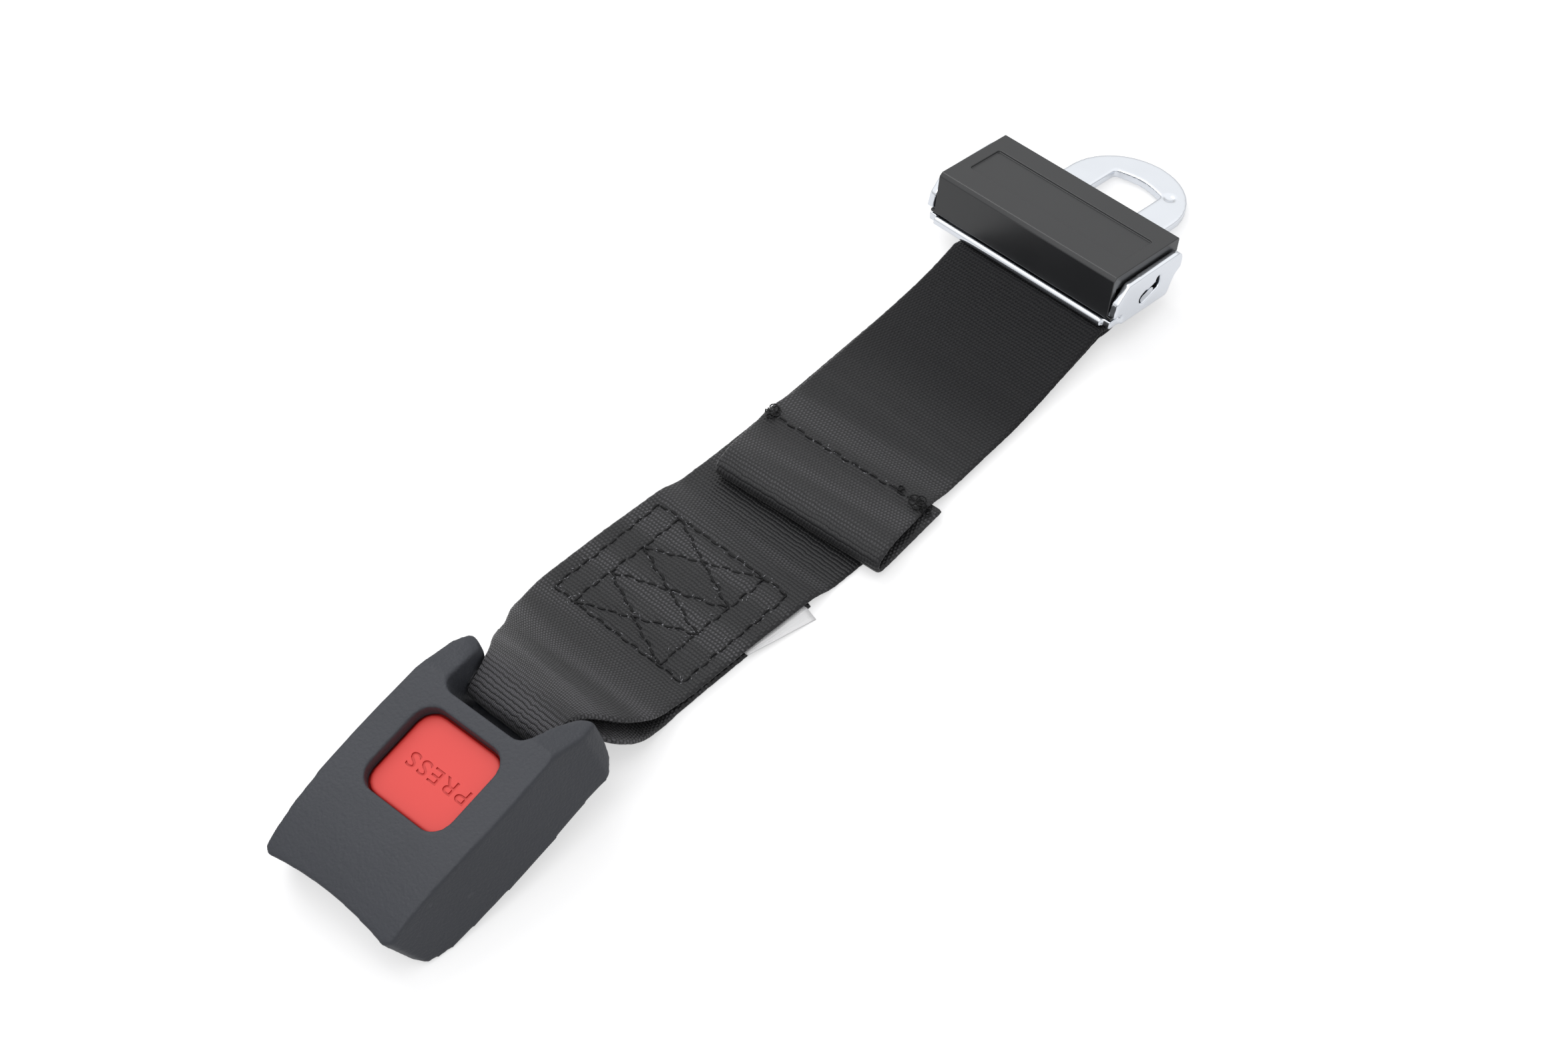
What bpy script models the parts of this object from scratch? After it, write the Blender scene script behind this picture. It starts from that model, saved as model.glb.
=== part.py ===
"""Seat belt extender: press-button buckle, webbing strap and slide-bar adjuster with its tongue.

Metres, +Z up. +X runs along the belt from the buckle's mouth to the tip of the tongue, and the part
lies on z = 0 with the middle of its box at the origin.
"""

import math

import bmesh
import bpy
from mathutils import Matrix, Vector

MM = 0.001
RUNNING_GAP = 0.3 * MM

# Webbing
WEB_WIDTH = 47.5 * MM
WEB_THICKNESS = 1.2 * MM
TAIL_END_X = -14.3 * MM
STITCH_END_X = -50.0 * MM
TAB_FOLD_X = 0.5 * MM
TAB_SEAM_X = 21.5 * MM
TAB_HEM = 3.5 * MM
TAB_FOLD_RADIUS = 1.9 * MM
TAB_SIDE_SHIFT = -3.3 * MM
TAB_SKEW = 0.055
PASSAGE_HALF_WIDTH = 22.9 * MM
LIFT_START_X = 52.0 * MM
LABEL_LENGTH = 18.5 * MM
LABEL_THICKNESS = 0.3 * MM
LABEL_TUCK = 13.0 * MM
LABEL_OVERHANG = 3.1 * MM

# Buckle housing, in its own frame: x along the belt, z = 0 on its underside
BUCKLE_AT = Vector((-106.85 * MM, -7.3 * MM, 5.25 * MM))
BUCKLE_PITCH = math.radians(13.6)
BUCKLE_YAW = math.radians(2.1)
HOUSING_HEIGHT = 18.5 * MM
HOUSING_HALF_WIDTH = 19.3 * MM
HOUSING_BARREL = 0.71 * MM
HOUSING_DRAFT = 2.3 * MM
HOUSING_WALL = 2.2 * MM
MOUTH_X = -34.1 * MM
MOUTH_SCOOP = 1.7 * MM
MOUTH_UNDERCUT = 5.0 * MM
MOUTH_DROP = 4.6 * MM
MOUTH_SLOPE_X = -15.3 * MM
BELLY_X = -21.5 * MM
BELLY_LENGTH = 10.4 * MM
SHOULDER_X = 16.7 * MM
HORN_TIP_X = 28.4 * MM
HORN_TIP_DROP = 4.0 * MM
NOTCH_X = 14.8 * MM
NOTCH_HALF_WIDTH = 11.4 * MM
NOTCH_FLARE = 2.4 * MM
NOTCH_RADIUS = 3.4 * MM
NOTCH_WEB_LENGTH = 5.4 * MM
NOTCH_WEB_TOP_Z = 1.9 * MM
EDGE_ROUND = 0.8 * MM

# Button and its opening
OPENING_LENGTH = 21.7 * MM
OPENING_WIDTH = 23.0 * MM
OPENING_RADIUS = 4.4 * MM
COLLAR_WALL = 1.2 * MM
COLLAR_DEPTH = 3.5 * MM
BUTTON_SINK = 2.7 * MM
BUTTON_FLANGE = 1.3 * MM
BUTTON_FLANGE_THICKNESS = 1.2 * MM
BUTTON_TRAVEL = 2.1 * MM

# Buckle mechanism
FRAME_Z = 6.5 * MM
FRAME_SHEET = 2.0 * MM
FRAME_SIDE_ROOM = 0.9 * MM
FRAME_FRONT_X = -21.8 * MM
FRAME_BACK_X = 12.4 * MM
FLANGE_BOTTOM_Z = 2.9 * MM
FLANGE_FRONT_X = -18.0 * MM
ARM_WIDTH = 1.8 * MM
ANCHOR_X = 22.5 * MM
ANCHOR_WIDTH = 3.0 * MM
SLOT_HALF_WIDTH = 15.0 * MM
SLOT_HEIGHT = 4.0 * MM
LEAD_IN_X = -25.0 * MM
LEAD_IN_SLOPE = math.radians(17.6)
TOOTH_X = -4.25 * MM
TOOTH_LENGTH = 2.5 * MM
TOOTH_HALF_WIDTH = 4.5 * MM
TOOTH_REACH = 2.1 * MM
HINGE_X = 11.0 * MM
HINGE_Z = 4.95 * MM
PIN_RADIUS = 0.85 * MM
EYE_RADIUS = 1.45 * MM
LATCH_SHEET = 1.6 * MM
LATCH_HALF_WIDTH = 7.5 * MM
LATCH_FRONT_X = -6.2 * MM
LOWER_SHELL_THICKNESS = 1.6 * MM
EJECTOR_FRONT_X = -1.2 * MM
EJECTOR_LENGTH = 4.0 * MM
EJECTOR_HALF_WIDTH = 9.0 * MM
EJECTOR_HEIGHT = 2.3 * MM
SPRING_WIRE = 0.4 * MM
EJECTOR_COIL_RADIUS = 1.0 * MM
LATCH_COIL_RADIUS = 2.2 * MM
LATCH_COIL_X = -1.0 * MM

# Adjuster, in its own frame: x towards the tongue's tip, z = 0 at the foot of the cover's wall
ADJUSTER_X = 106.0 * MM
ADJUSTER_Y = 9.6 * MM
ADJUSTER_PITCH = math.radians(7.2)
ADJUSTER_YAW = math.radians(-0.5)
COVER_LENGTH = 54.8 * MM
COVER_DEPTH = 25.4 * MM
COVER_HEIGHT = 11.9 * MM
COVER_WALL = 1.8 * MM
COVER_CHAMFER = 0.9 * MM
PANEL_LENGTH = 48.2 * MM
PANEL_DEPTH = 11.2 * MM
PANEL_SINK = 0.5 * MM
FOOT_LENGTH = 1.5 * MM
FOOT_LOW = -0.1 * MM
FOOT_HIGH = 0.7 * MM
FOOT_REACH = 1.1 * MM
PLATE_THICKNESS = 2.3 * MM
PLATE_TOP_Z = -0.4 * MM
EAR_THICKNESS = 2.0 * MM
EAR_HEIGHT = 9.6 * MM
EAR_BACK_X = -13.0 * MM
EAR_FRONT_X = 12.4 * MM
CROSSBAR_WIDTH = 3.0 * MM
WINDOW_FRONT_X = 9.3 * MM
TONGUE_TIP_X = 47.2 * MM
TONGUE_SIDE_SHIFT = 2.0 * MM
TONGUE_HALF_WIDTH = 16.4 * MM
TONGUE_HOLE_HALF_WIDTH = 7.4 * MM
TONGUE_HOLE_BACK_X = 22.2 * MM
TONGUE_HOLE_FRONT_X = 39.6 * MM
BAR_SLOPE = math.radians(20.8)
BAR_X = -0.5 * MM
BAR_Z = 2.4 * MM
BAR_WIDTH = 6.4 * MM
BAR_THICKNESS = 3.0 * MM
BAR_TRAVEL = 2.0 * MM
BAR_TEETH = 22
TANG_WIDTH = 4.8 * MM
TANG_THICKNESS = 2.0 * MM

# Values that follow from the sizes above
LAYER_PITCH = WEB_THICKNESS + RUNNING_GAP
FLOOR_LAYER_Z = WEB_THICKNESS / 2
SEWN_LAYER_Z = FLOOR_LAYER_Z + LAYER_PITCH + LABEL_THICKNESS + RUNNING_GAP
FRAME_TOP_Z = FRAME_Z + FRAME_SHEET
TONGUE_PATH_Z = FRAME_TOP_Z + RUNNING_GAP
PLATE_BOTTOM_Z = PLATE_TOP_Z - PLATE_THICKNESS
EAR_INNER_Y = COVER_LENGTH / 2 + RUNNING_GAP
EAR_OUTER_Y = EAR_INNER_Y + EAR_THICKNESS
ADJUSTER_Z = TONGUE_TIP_X * math.sin(ADJUSTER_PITCH) - PLATE_BOTTOM_Z * math.cos(ADJUSTER_PITCH)
ADJUSTER_AT = Vector((ADJUSTER_X, ADJUSTER_Y, ADJUSTER_Z))
BUTTON_TOP_Z = HOUSING_HEIGHT - BUTTON_SINK
COLLAR_BOTTOM_Z = HOUSING_HEIGHT - COLLAR_DEPTH
FRAME_HALF_WIDTH = HOUSING_HALF_WIDTH - HOUSING_WALL - FRAME_SIDE_ROOM
ARM_INNER_Y = FRAME_HALF_WIDTH - ARM_WIDTH
TOOTH_TOP_Z = FRAME_TOP_Z + TOOTH_REACH


def clear_scene():
    for old in list(bpy.data.objects):
        bpy.data.objects.remove(old, do_unlink=True)


def material(name, colour, roughness, metallic=0.0):
    found = bpy.data.materials.get(name)
    if found:
        return found
    made = bpy.data.materials.new(name)
    made.use_nodes = True
    shader = made.node_tree.nodes["Principled BSDF"]
    shader.inputs["Base Color"].default_value = (*colour, 1.0)
    shader.inputs["Roughness"].default_value = roughness
    shader.inputs["Metallic"].default_value = metallic
    return made


def housing_plastic():
    return material("charcoal_abs", (0.075, 0.08, 0.088), 0.55)


def button_plastic():
    return material("red_abs", (0.80, 0.10, 0.09), 0.42)


def cover_plastic():
    return material("black_abs", (0.09, 0.09, 0.09), 0.45)


def plated_steel():
    return material("bright_zinc_plate", (0.78, 0.80, 0.84), 0.18, 1.0)


def spring_steel():
    return material("spring_steel", (0.45, 0.45, 0.46), 0.3, 1.0)


def acetal():
    return material("black_acetal", (0.03, 0.03, 0.03), 0.4)


def polyester():
    return material("black_polyester", (0.028, 0.028, 0.031), 0.7)


def satin():
    return material("white_satin", (0.85, 0.85, 0.85), 0.6)


def add_object(name, bm, finish, parent=None, origin=None, smooth_angle=35.0):
    """Turn a bmesh, whose coordinates are in its parent's frame, into an object with the given origin."""
    bmesh.ops.remove_doubles(bm, verts=bm.verts, dist=0.001 * MM)
    bmesh.ops.recalc_face_normals(bm, faces=bm.faces)
    mesh = bpy.data.meshes.new(name)
    place = Vector(origin) if origin else Vector((0, 0, 0))
    bmesh.ops.translate(bm, verts=bm.verts, vec=-place)
    bm.to_mesh(mesh)
    bm.free()
    mesh.shade_smooth()
    mesh.set_sharp_from_angle(angle=math.radians(smooth_angle))
    made = bpy.data.objects.new(name, mesh)
    bpy.context.scene.collection.objects.link(made)
    if finish:
        mesh.materials.append(finish)
    made.location = place
    made.parent = parent
    return made


def frame_empty(name, place, pitch, yaw):
    """An empty that carries one end of the belt. A positive pitch lifts its +X end."""
    empty = bpy.data.objects.new(name, None)
    bpy.context.scene.collection.objects.link(empty)
    empty.location = place
    empty.rotation_euler = (0.0, -pitch, yaw)
    return empty


def cut(target, name, bm, operation="DIFFERENCE"):
    """Give the target a Boolean with a hidden tool made from the bmesh."""
    tool = add_object(name, bm, None, target.parent)
    tool.hide_render = True
    tool.display_type = "WIRE"
    modifier = target.modifiers.new(name, "BOOLEAN")
    modifier.operation = operation
    modifier.object = tool
    modifier.solver = "EXACT"
    return tool


def soften(target, width, segments=2, angle=32.0):
    modifier = target.modifiers.new("soft_edges", "BEVEL")
    modifier.width = width
    modifier.segments = segments
    modifier.limit_method = "ANGLE"
    modifier.angle_limit = math.radians(angle)
    modifier.use_clamp_overlap = True


def loft(bm, rings, closed=False):
    """Skin equal rings of points, in order, and cap the two ends unless the loft closes on itself."""
    made = [[bm.verts.new(point) for point in ring] for ring in rings]
    count = len(made[0])
    last = len(made) if closed else len(made) - 1
    for i in range(last):
        first, second = made[i], made[(i + 1) % len(made)]
        for j in range(count):
            k = (j + 1) % count
            bm.faces.new((first[j], first[k], second[k], second[j]))
    if not closed:
        bm.faces.new(reversed(made[0]))
        bm.faces.new(made[-1])
    return bm


def prism(outline, low, high, axis="z", bm=None):
    """Extrude a plan outline between two levels of the named axis."""
    bm = bm or bmesh.new()

    def place(point, level):
        if axis == "z":
            return (point[0], point[1], level)
        if axis == "y":
            return (point[0], level, point[1])
        return (level, point[0], point[1])

    return loft(bm, [[place(p, level) for p in outline] for level in (low, high)])


def box(low, high, bm=None):
    outline = [(low[0], low[1]), (high[0], low[1]), (high[0], high[1]), (low[0], high[1])]
    return prism(outline, low[2], high[2], bm=bm)


def arc(centre, radius, start, end, steps):
    """Points on an arc, from start to end in degrees."""
    points = []
    for i in range(steps + 1):
        turn = math.radians(start + (end - start) * i / steps)
        points.append((centre[0] + radius * math.cos(turn), centre[1] + radius * math.sin(turn)))
    return points


def rounded_rectangle(half_x, half_y, radius, steps=4, centre=(0.0, 0.0)):
    points = []
    for sign_x, sign_y, start in ((1, 1, 0), (-1, 1, 90), (-1, -1, 180), (1, -1, 270)):
        corner = (centre[0] + sign_x * (half_x - radius), centre[1] + sign_y * (half_y - radius))
        points += arc(corner, radius, start, start + 90, steps)
    return points


def rounded_polygon(corners, steps=3):
    """Replace each (x, y, radius) corner of an outline with an arc that is tangent to its two edges."""
    points = []
    count = len(corners)
    for i, (x, y, radius) in enumerate(corners):
        here = Vector((x, y))
        if radius <= 0:
            points.append((x, y))
            continue
        back = (Vector(corners[i - 1][:2]) - here).normalized()
        ahead = (Vector(corners[(i + 1) % count][:2]) - here).normalized()
        half = back.angle(ahead) / 2
        reach = radius / math.tan(half)
        centre = here + (back + ahead).normalized() * radius / math.sin(half)
        start = here + back * reach - centre
        end = here + ahead * reach - centre
        turn = start.angle_signed(end)
        for j in range(steps + 1):
            spoke = start.copy()
            spoke.rotate(Matrix.Rotation(-turn * j / steps, 2))
            points.append(tuple(centre + spoke))
    return points


def rod(start, end, radius, sides=16, bm=None):
    """A round bar between two points."""
    bm = bm or bmesh.new()
    axis = Vector(end) - Vector(start)
    turn = axis.to_track_quat("Z", "Y")
    rings = []
    for level in (0.0, axis.length):
        ring = []
        for i in range(sides):
            angle = 2 * math.pi * i / sides
            spoke = Vector((radius * math.cos(angle), radius * math.sin(angle), level))
            ring.append(Vector(start) + turn @ spoke)
        rings.append(ring)
    return loft(bm, rings)


def coil(start, end, radius, wire, turns, sides=6, steps=14):
    """A compression spring between two points, as one swept wire."""
    axis = Vector(end) - Vector(start)
    turn = axis.to_track_quat("Z", "Y")
    count = int(turns * steps)
    rise = (axis.length - wire) / count
    rings = []
    for i in range(count + 1):
        angle = 2 * math.pi * i / steps
        outward = Vector((math.cos(angle), math.sin(angle), 0))
        middle = outward * radius + Vector((0, 0, wire / 2 + rise * i))
        ring = []
        for j in range(sides):
            around = 2 * math.pi * j / sides
            offset = outward * math.cos(around) + Vector((0, 0, 1)) * math.sin(around)
            ring.append(Vector(start) + turn @ (middle + offset * wire / 2))
        rings.append(ring)
    return loft(bmesh.new(), rings)


def half_width(x, z=None):
    """The housing's half width at a station, at its top or at a given height."""
    top = HOUSING_HALF_WIDTH - HOUSING_BARREL * (x / (20 * MM)) ** 2
    if z is None:
        return top
    return top + HOUSING_DRAFT * (1 - z / HOUSING_HEIGHT)


def housing_plan(z, inset=0.0):
    """The housing's outline at a height, with the scooped mouth, the barrelled sides and the notch."""
    lean = 1 - z / HOUSING_HEIGHT
    mouth_x = MOUTH_X + MOUTH_UNDERCUT * lean + inset
    tip_x = HORN_TIP_X - inset
    tip_radius = 1.4 * MM
    corner_half = half_width(MOUTH_X, z) - inset
    scoop = []
    scoop_steps = 8
    for i in range(scoop_steps + 1):
        across = -1 + 2 * i / scoop_steps
        scoop.append((mouth_x + MOUTH_SCOOP * (1 - across ** 2), -across * (corner_half - 1.2 * MM), 0))
    right = []
    side_steps = 6
    for i in range(side_steps + 1):
        x = mouth_x + 1.4 * MM + (tip_x - 6 * MM - mouth_x) * i / side_steps
        right.append((x, -(half_width(x, z) - inset), 0))
    inner_tip = NOTCH_HALF_WIDTH + NOTCH_FLARE + inset
    horn = [
        (tip_x - 0.6 * MM, -(half_width(tip_x, z) - inset - 0.9 * MM), tip_radius),
        (tip_x, -inner_tip, tip_radius - 0.3 * MM),
        (NOTCH_X - inset, -(NOTCH_HALF_WIDTH + inset), NOTCH_RADIUS),
    ]
    mirrored = [(x, -y, r) for x, y, r in reversed(right + horn)]
    return rounded_polygon(scoop + right + horn + mirrored, steps=5)


def housing_side():
    """The housing's side profile, that trims the plan's block from above and below."""
    front_x = MOUTH_X - 6 * MM
    slope_steps = 6
    top = []
    for i in range(slope_steps + 1):
        share = i / slope_steps
        x = MOUTH_SLOPE_X + (MOUTH_X - MOUTH_SLOPE_X) * share
        top.append((x, HOUSING_HEIGHT - MOUTH_DROP * (0.45 * share + 0.55 * share ** 3)))
    top.append((front_x, top[-1][1] - 3.0 * MM))
    tip_top = HOUSING_HEIGHT - HORN_TIP_DROP
    tail = [
        (SHOULDER_X, HOUSING_HEIGHT),
        (HORN_TIP_X - 2.4 * MM, tip_top),
        (HORN_TIP_X - 0.6 * MM, tip_top - 1.2 * MM),
        (HORN_TIP_X + 0.2 * MM, tip_top - 3.4 * MM),
        (HORN_TIP_X - 1.6 * MM, 2.6 * MM),
        (HORN_TIP_X - 4.4 * MM, 0.0),
    ]
    belly = [(BELLY_X, 0.0)]
    for i in range(1, 5):
        share = i / 4
        belly.append((BELLY_X - BELLY_LENGTH * share, 4.2 * MM * share ** 1.6))
    belly.append((front_x, belly[-1][1] + 3.0 * MM))
    return list(reversed(top)) + tail + belly


def cavity_plan(inset):
    """The room inside the housing: the main chamber and a pocket in each horn for the frame's arms."""
    front = MOUTH_X + MOUTH_SCOOP + MOUTH_UNDERCUT + HOUSING_WALL + 1.4 * MM + inset
    back = NOTCH_X - 2.0 * MM - inset
    pocket_x = ANCHOR_X + ANCHOR_WIDTH / 2 + RUNNING_GAP - inset
    wide = half_width(front, HOUSING_HEIGHT) - HOUSING_WALL + 1.0 * MM - inset
    middle = half_width(0, HOUSING_HEIGHT) - HOUSING_WALL + 1.0 * MM - inset
    pocket_out = FRAME_HALF_WIDTH + RUNNING_GAP - inset
    pocket_in = ARM_INNER_Y - RUNNING_GAP + inset
    side = [
        (front, -wide),
        (0.0, -middle),
        (back, -middle + 0.4 * MM),
        (back, -pocket_out),
        (pocket_x, -pocket_out),
        (pocket_x, -pocket_in),
        (back, -pocket_in),
    ]
    return side + [(x, -y) for x, y in reversed(side)]


def upper_shell(parent):
    """The housing: a drafted block cut to its side profile, hollowed from below."""
    reach = 6 * MM
    levels = (-reach, HOUSING_HEIGHT + reach)
    rings = [[(x, y, z) for x, y in housing_plan(z)] for z in levels]
    made = add_object("buckle_upper_shell", loft(bmesh.new(), rings), housing_plastic(), parent)
    span = 40 * MM
    cut(made, "housing_side_profile", prism(housing_side(), -span, span, axis="y"), "INTERSECT")
    web = box((NOTCH_X - 1.2 * MM, -NOTCH_HALF_WIDTH - 1.2 * MM, 0.3 * MM),
              (NOTCH_X + NOTCH_WEB_LENGTH, NOTCH_HALF_WIDTH + 1.2 * MM, NOTCH_WEB_TOP_Z))
    cut(made, "notch_web", web, "UNION")
    soften(made, EDGE_ROUND, segments=2)
    ceiling = HOUSING_HEIGHT - HOUSING_WALL
    roof = FRAME_TOP_Z + SLOT_HEIGHT + 0.6 * MM
    cut(made, "chamber", prism(cavity_plan(0.0), -reach, min(ceiling - MOUTH_DROP * 0.42, roof)))
    collar = rounded_rectangle(OPENING_LENGTH / 2, OPENING_WIDTH / 2, OPENING_RADIUS)
    cut(made, "button_opening", prism(collar, FRAME_TOP_Z, HOUSING_HEIGHT + reach))
    room = rounded_rectangle(
        OPENING_LENGTH / 2 + COLLAR_WALL + 0.6 * MM, OPENING_WIDTH / 2 + COLLAR_WALL + 0.6 * MM, OPENING_RADIUS)
    cut(made, "flange_room", prism(room, FRAME_TOP_Z, COLLAR_BOTTOM_Z))
    slot_low = TONGUE_PATH_Z - RUNNING_GAP
    slot_high = slot_low + SLOT_HEIGHT
    funnel_x = MOUTH_X - reach
    funnel_drop = (LEAD_IN_X - funnel_x) * math.tan(LEAD_IN_SLOPE)
    slot = prism([
        (FRAME_FRONT_X + 4 * MM, slot_low),
        (FRAME_FRONT_X + 4 * MM, slot_high),
        (LEAD_IN_X, slot_high),
        (funnel_x, slot_high + 0.8 * MM),
        (funnel_x, slot_low - funnel_drop),
        (LEAD_IN_X, slot_low),
    ], -SLOT_HALF_WIDTH, SLOT_HALF_WIDTH, axis="y")
    cut(made, "tongue_slot", slot)
    bar_low_x = ANCHOR_X - ANCHOR_WIDTH / 2 - RUNNING_GAP
    bar_high_x = ANCHOR_X + ANCHOR_WIDTH / 2 + RUNNING_GAP
    bar_room = box((bar_low_x, -ARM_INNER_Y - 0.2 * MM, -reach),
                   (bar_high_x, ARM_INNER_Y + 0.2 * MM, FRAME_TOP_Z + RUNNING_GAP))
    cut(made, "anchor_bar_slots", bar_room)
    return made


def lower_shell(parent):
    """The closing plate, with two ribs that carry the steel frame."""
    made = add_object("buckle_lower_shell", prism(cavity_plan(RUNNING_GAP), 0.4 * MM, LOWER_SHELL_THICKNESS),
                      housing_plastic(), parent)
    rib_top = FRAME_Z - RUNNING_GAP
    for index, sign in enumerate((-1, 1)):
        middle = sign * (LATCH_HALF_WIDTH + 3.0 * MM)
        rib = box((-16 * MM, middle - 0.8 * MM, 1.0 * MM), (6 * MM, middle + 0.8 * MM, rib_top))
        cut(made, "frame_rib_%d" % index, rib, "UNION")
    return made


def press_button(parent):
    """The button: a head that fills the opening, a flange under the collar and a post over the tooth."""
    head_x = OPENING_LENGTH / 2 - RUNNING_GAP
    head_y = OPENING_WIDTH / 2 - RUNNING_GAP
    flange_top = COLLAR_BOTTOM_Z - RUNNING_GAP
    flange_bottom = flange_top - BUTTON_FLANGE_THICKNESS
    head = prism(rounded_rectangle(head_x, head_y, OPENING_RADIUS - RUNNING_GAP), flange_bottom, BUTTON_TOP_Z)
    made = add_object("press_button", head, button_plastic(), parent, origin=(0, 0, BUTTON_TOP_Z))
    soften(made, 0.35 * MM, segments=2, angle=60.0)
    grow = BUTTON_FLANGE - RUNNING_GAP
    flange = prism(rounded_rectangle(head_x + grow, head_y + grow, OPENING_RADIUS), flange_bottom, flange_top)
    cut(made, "button_flange", flange, "UNION")
    post_low = (TOOTH_X - TOOTH_LENGTH / 2, -TOOTH_HALF_WIDTH + 0.8 * MM, TOOTH_TOP_Z + RUNNING_GAP)
    post_high = (TOOTH_X + TOOTH_LENGTH / 2, TOOTH_HALF_WIDTH - 0.8 * MM, flange_top - 0.3 * MM)
    cut(made, "button_post", box(post_low, post_high), "UNION")
    return made


def buckle_frame(parent):
    """Stamped steel: base plate, two flanges turned down, and two arms that end in the anchor bar."""
    bar_back = ANCHOR_X + ANCHOR_WIDTH / 2
    bar_front = ANCHOR_X - ANCHOR_WIDTH / 2
    plan = rounded_polygon([
        (FRAME_FRONT_X, -FRAME_HALF_WIDTH, 2.5 * MM),
        (bar_back, -FRAME_HALF_WIDTH, 1.6 * MM),
        (bar_back, FRAME_HALF_WIDTH, 1.6 * MM),
        (FRAME_FRONT_X, FRAME_HALF_WIDTH, 2.5 * MM),
    ])
    made = add_object("buckle_frame", prism(plan, FRAME_Z, FRAME_TOP_Z), plated_steel(), parent)
    gap_x = (FRAME_BACK_X + bar_front) / 2
    window = rounded_rectangle((bar_front - FRAME_BACK_X) / 2, ARM_INNER_Y, 0.3 * MM, steps=1, centre=(gap_x, 0.0))
    cut(made, "webbing_window", prism(window, FRAME_Z - MM, FRAME_TOP_Z + MM))
    hole = box((TOOTH_X - TOOTH_LENGTH / 2 - 1.4 * MM, -TOOTH_HALF_WIDTH - RUNNING_GAP, FRAME_Z - MM),
               (TOOTH_X + TOOTH_LENGTH / 2 + 0.8 * MM, TOOTH_HALF_WIDTH + RUNNING_GAP, FRAME_TOP_Z + MM))
    cut(made, "tooth_hole", hole)
    for index, sign in enumerate((-1, 1)):
        outer = sign * (FRAME_HALF_WIDTH - 0.1 * MM)
        inner = sign * (FRAME_HALF_WIDTH - FRAME_SHEET)
        low_y, high_y = min(outer, inner), max(outer, inner)
        flange = box((FLANGE_FRONT_X, low_y, FLANGE_BOTTOM_Z),
                     (FRAME_BACK_X + 0.3 * MM, high_y, FRAME_Z + FRAME_SHEET / 2))
        cut(made, "flange_%d" % index, flange, "UNION")
        bore = rod((HINGE_X, low_y - 0.7 * MM, HINGE_Z), (HINGE_X, high_y + 0.7 * MM, HINGE_Z),
                   PIN_RADIUS + 0.05 * MM, sides=20)
        cut(made, "pin_hole_%d" % index, bore)
    return made


def latch_pin(parent):
    reach = FRAME_HALF_WIDTH + 0.2 * MM
    bm = rod((HINGE_X, -reach, HINGE_Z), (HINGE_X, reach, HINGE_Z), PIN_RADIUS)
    return add_object("latch_pin", bm, plated_steel(), parent, origin=(HINGE_X, 0, HINGE_Z))


def latch_plate(parent):
    """The latch: one profile with its rolled eye and its tooth, that turns on the pin."""
    low = HINGE_Z - LATCH_SHEET / 2
    high = HINGE_Z + LATCH_SHEET / 2
    eye = arc((HINGE_X, HINGE_Z), EYE_RADIUS, -146, 146, 12)
    plate = [(LATCH_FRONT_X, high), (LATCH_FRONT_X, low)] + eye
    made = add_object("latch_plate", prism(plate, -LATCH_HALF_WIDTH, LATCH_HALF_WIDTH, axis="y"),
                      plated_steel(), parent, origin=(HINGE_X, 0, HINGE_Z))
    front = TOOTH_X - TOOTH_LENGTH / 2
    back = TOOTH_X + TOOTH_LENGTH / 2
    tooth = [(front, low + 0.4 * MM), (back, low + 0.4 * MM), (back, TOOTH_TOP_Z),
             (front + 1.1 * MM, TOOTH_TOP_Z), (front, TOOTH_TOP_Z - 1.3 * MM)]
    cut(made, "latch_tooth", prism(tooth, -TOOTH_HALF_WIDTH, TOOTH_HALF_WIDTH, axis="y"), "UNION")
    bore = rod((HINGE_X, -20 * MM, HINGE_Z), (HINGE_X, 20 * MM, HINGE_Z), PIN_RADIUS + 0.08 * MM)
    cut(made, "latch_eye", bore)
    return made


def latch_spring(parent):
    low = LOWER_SHELL_THICKNESS + 0.1 * MM
    high = HINGE_Z - LATCH_SHEET / 2 - 0.1 * MM
    bm = coil((LATCH_COIL_X, 0, low), (LATCH_COIL_X, 0, high), LATCH_COIL_RADIUS, SPRING_WIRE, 2.5)
    return add_object("latch_spring", bm, spring_steel(), parent, origin=(LATCH_COIL_X, 0, low))


def ejector(parent):
    """The slider that the tongue pushes back, with a spigot for its spring."""
    low = TONGUE_PATH_Z
    high = low + EJECTOR_HEIGHT
    plan = rounded_rectangle(EJECTOR_LENGTH / 2, EJECTOR_HALF_WIDTH, 0.8 * MM, steps=2,
                             centre=(EJECTOR_FRONT_X + EJECTOR_LENGTH / 2, 0.0))
    back = EJECTOR_FRONT_X + EJECTOR_LENGTH
    middle = (low + high) / 2
    made = add_object("ejector", prism(plan, low, high), acetal(), parent, origin=(back, 0, middle))
    spigot = rod((back - 0.5 * MM, 0, middle), (back + 1.2 * MM, 0, middle), 0.6 * MM, sides=10)
    cut(made, "spring_spigot", spigot, "UNION")
    return made


def ejector_spring(parent):
    start = EJECTOR_FRONT_X + EJECTOR_LENGTH + 0.1 * MM
    end = NOTCH_X - 2.0 * MM - 0.1 * MM
    middle = TONGUE_PATH_Z + EJECTOR_HEIGHT / 2
    bm = coil((start, 0, middle), (end, 0, middle), EJECTOR_COIL_RADIUS, SPRING_WIRE * 0.8, 6.0, steps=12)
    return add_object("ejector_spring", bm, spring_steel(), parent, origin=(end, 0, middle))


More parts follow.
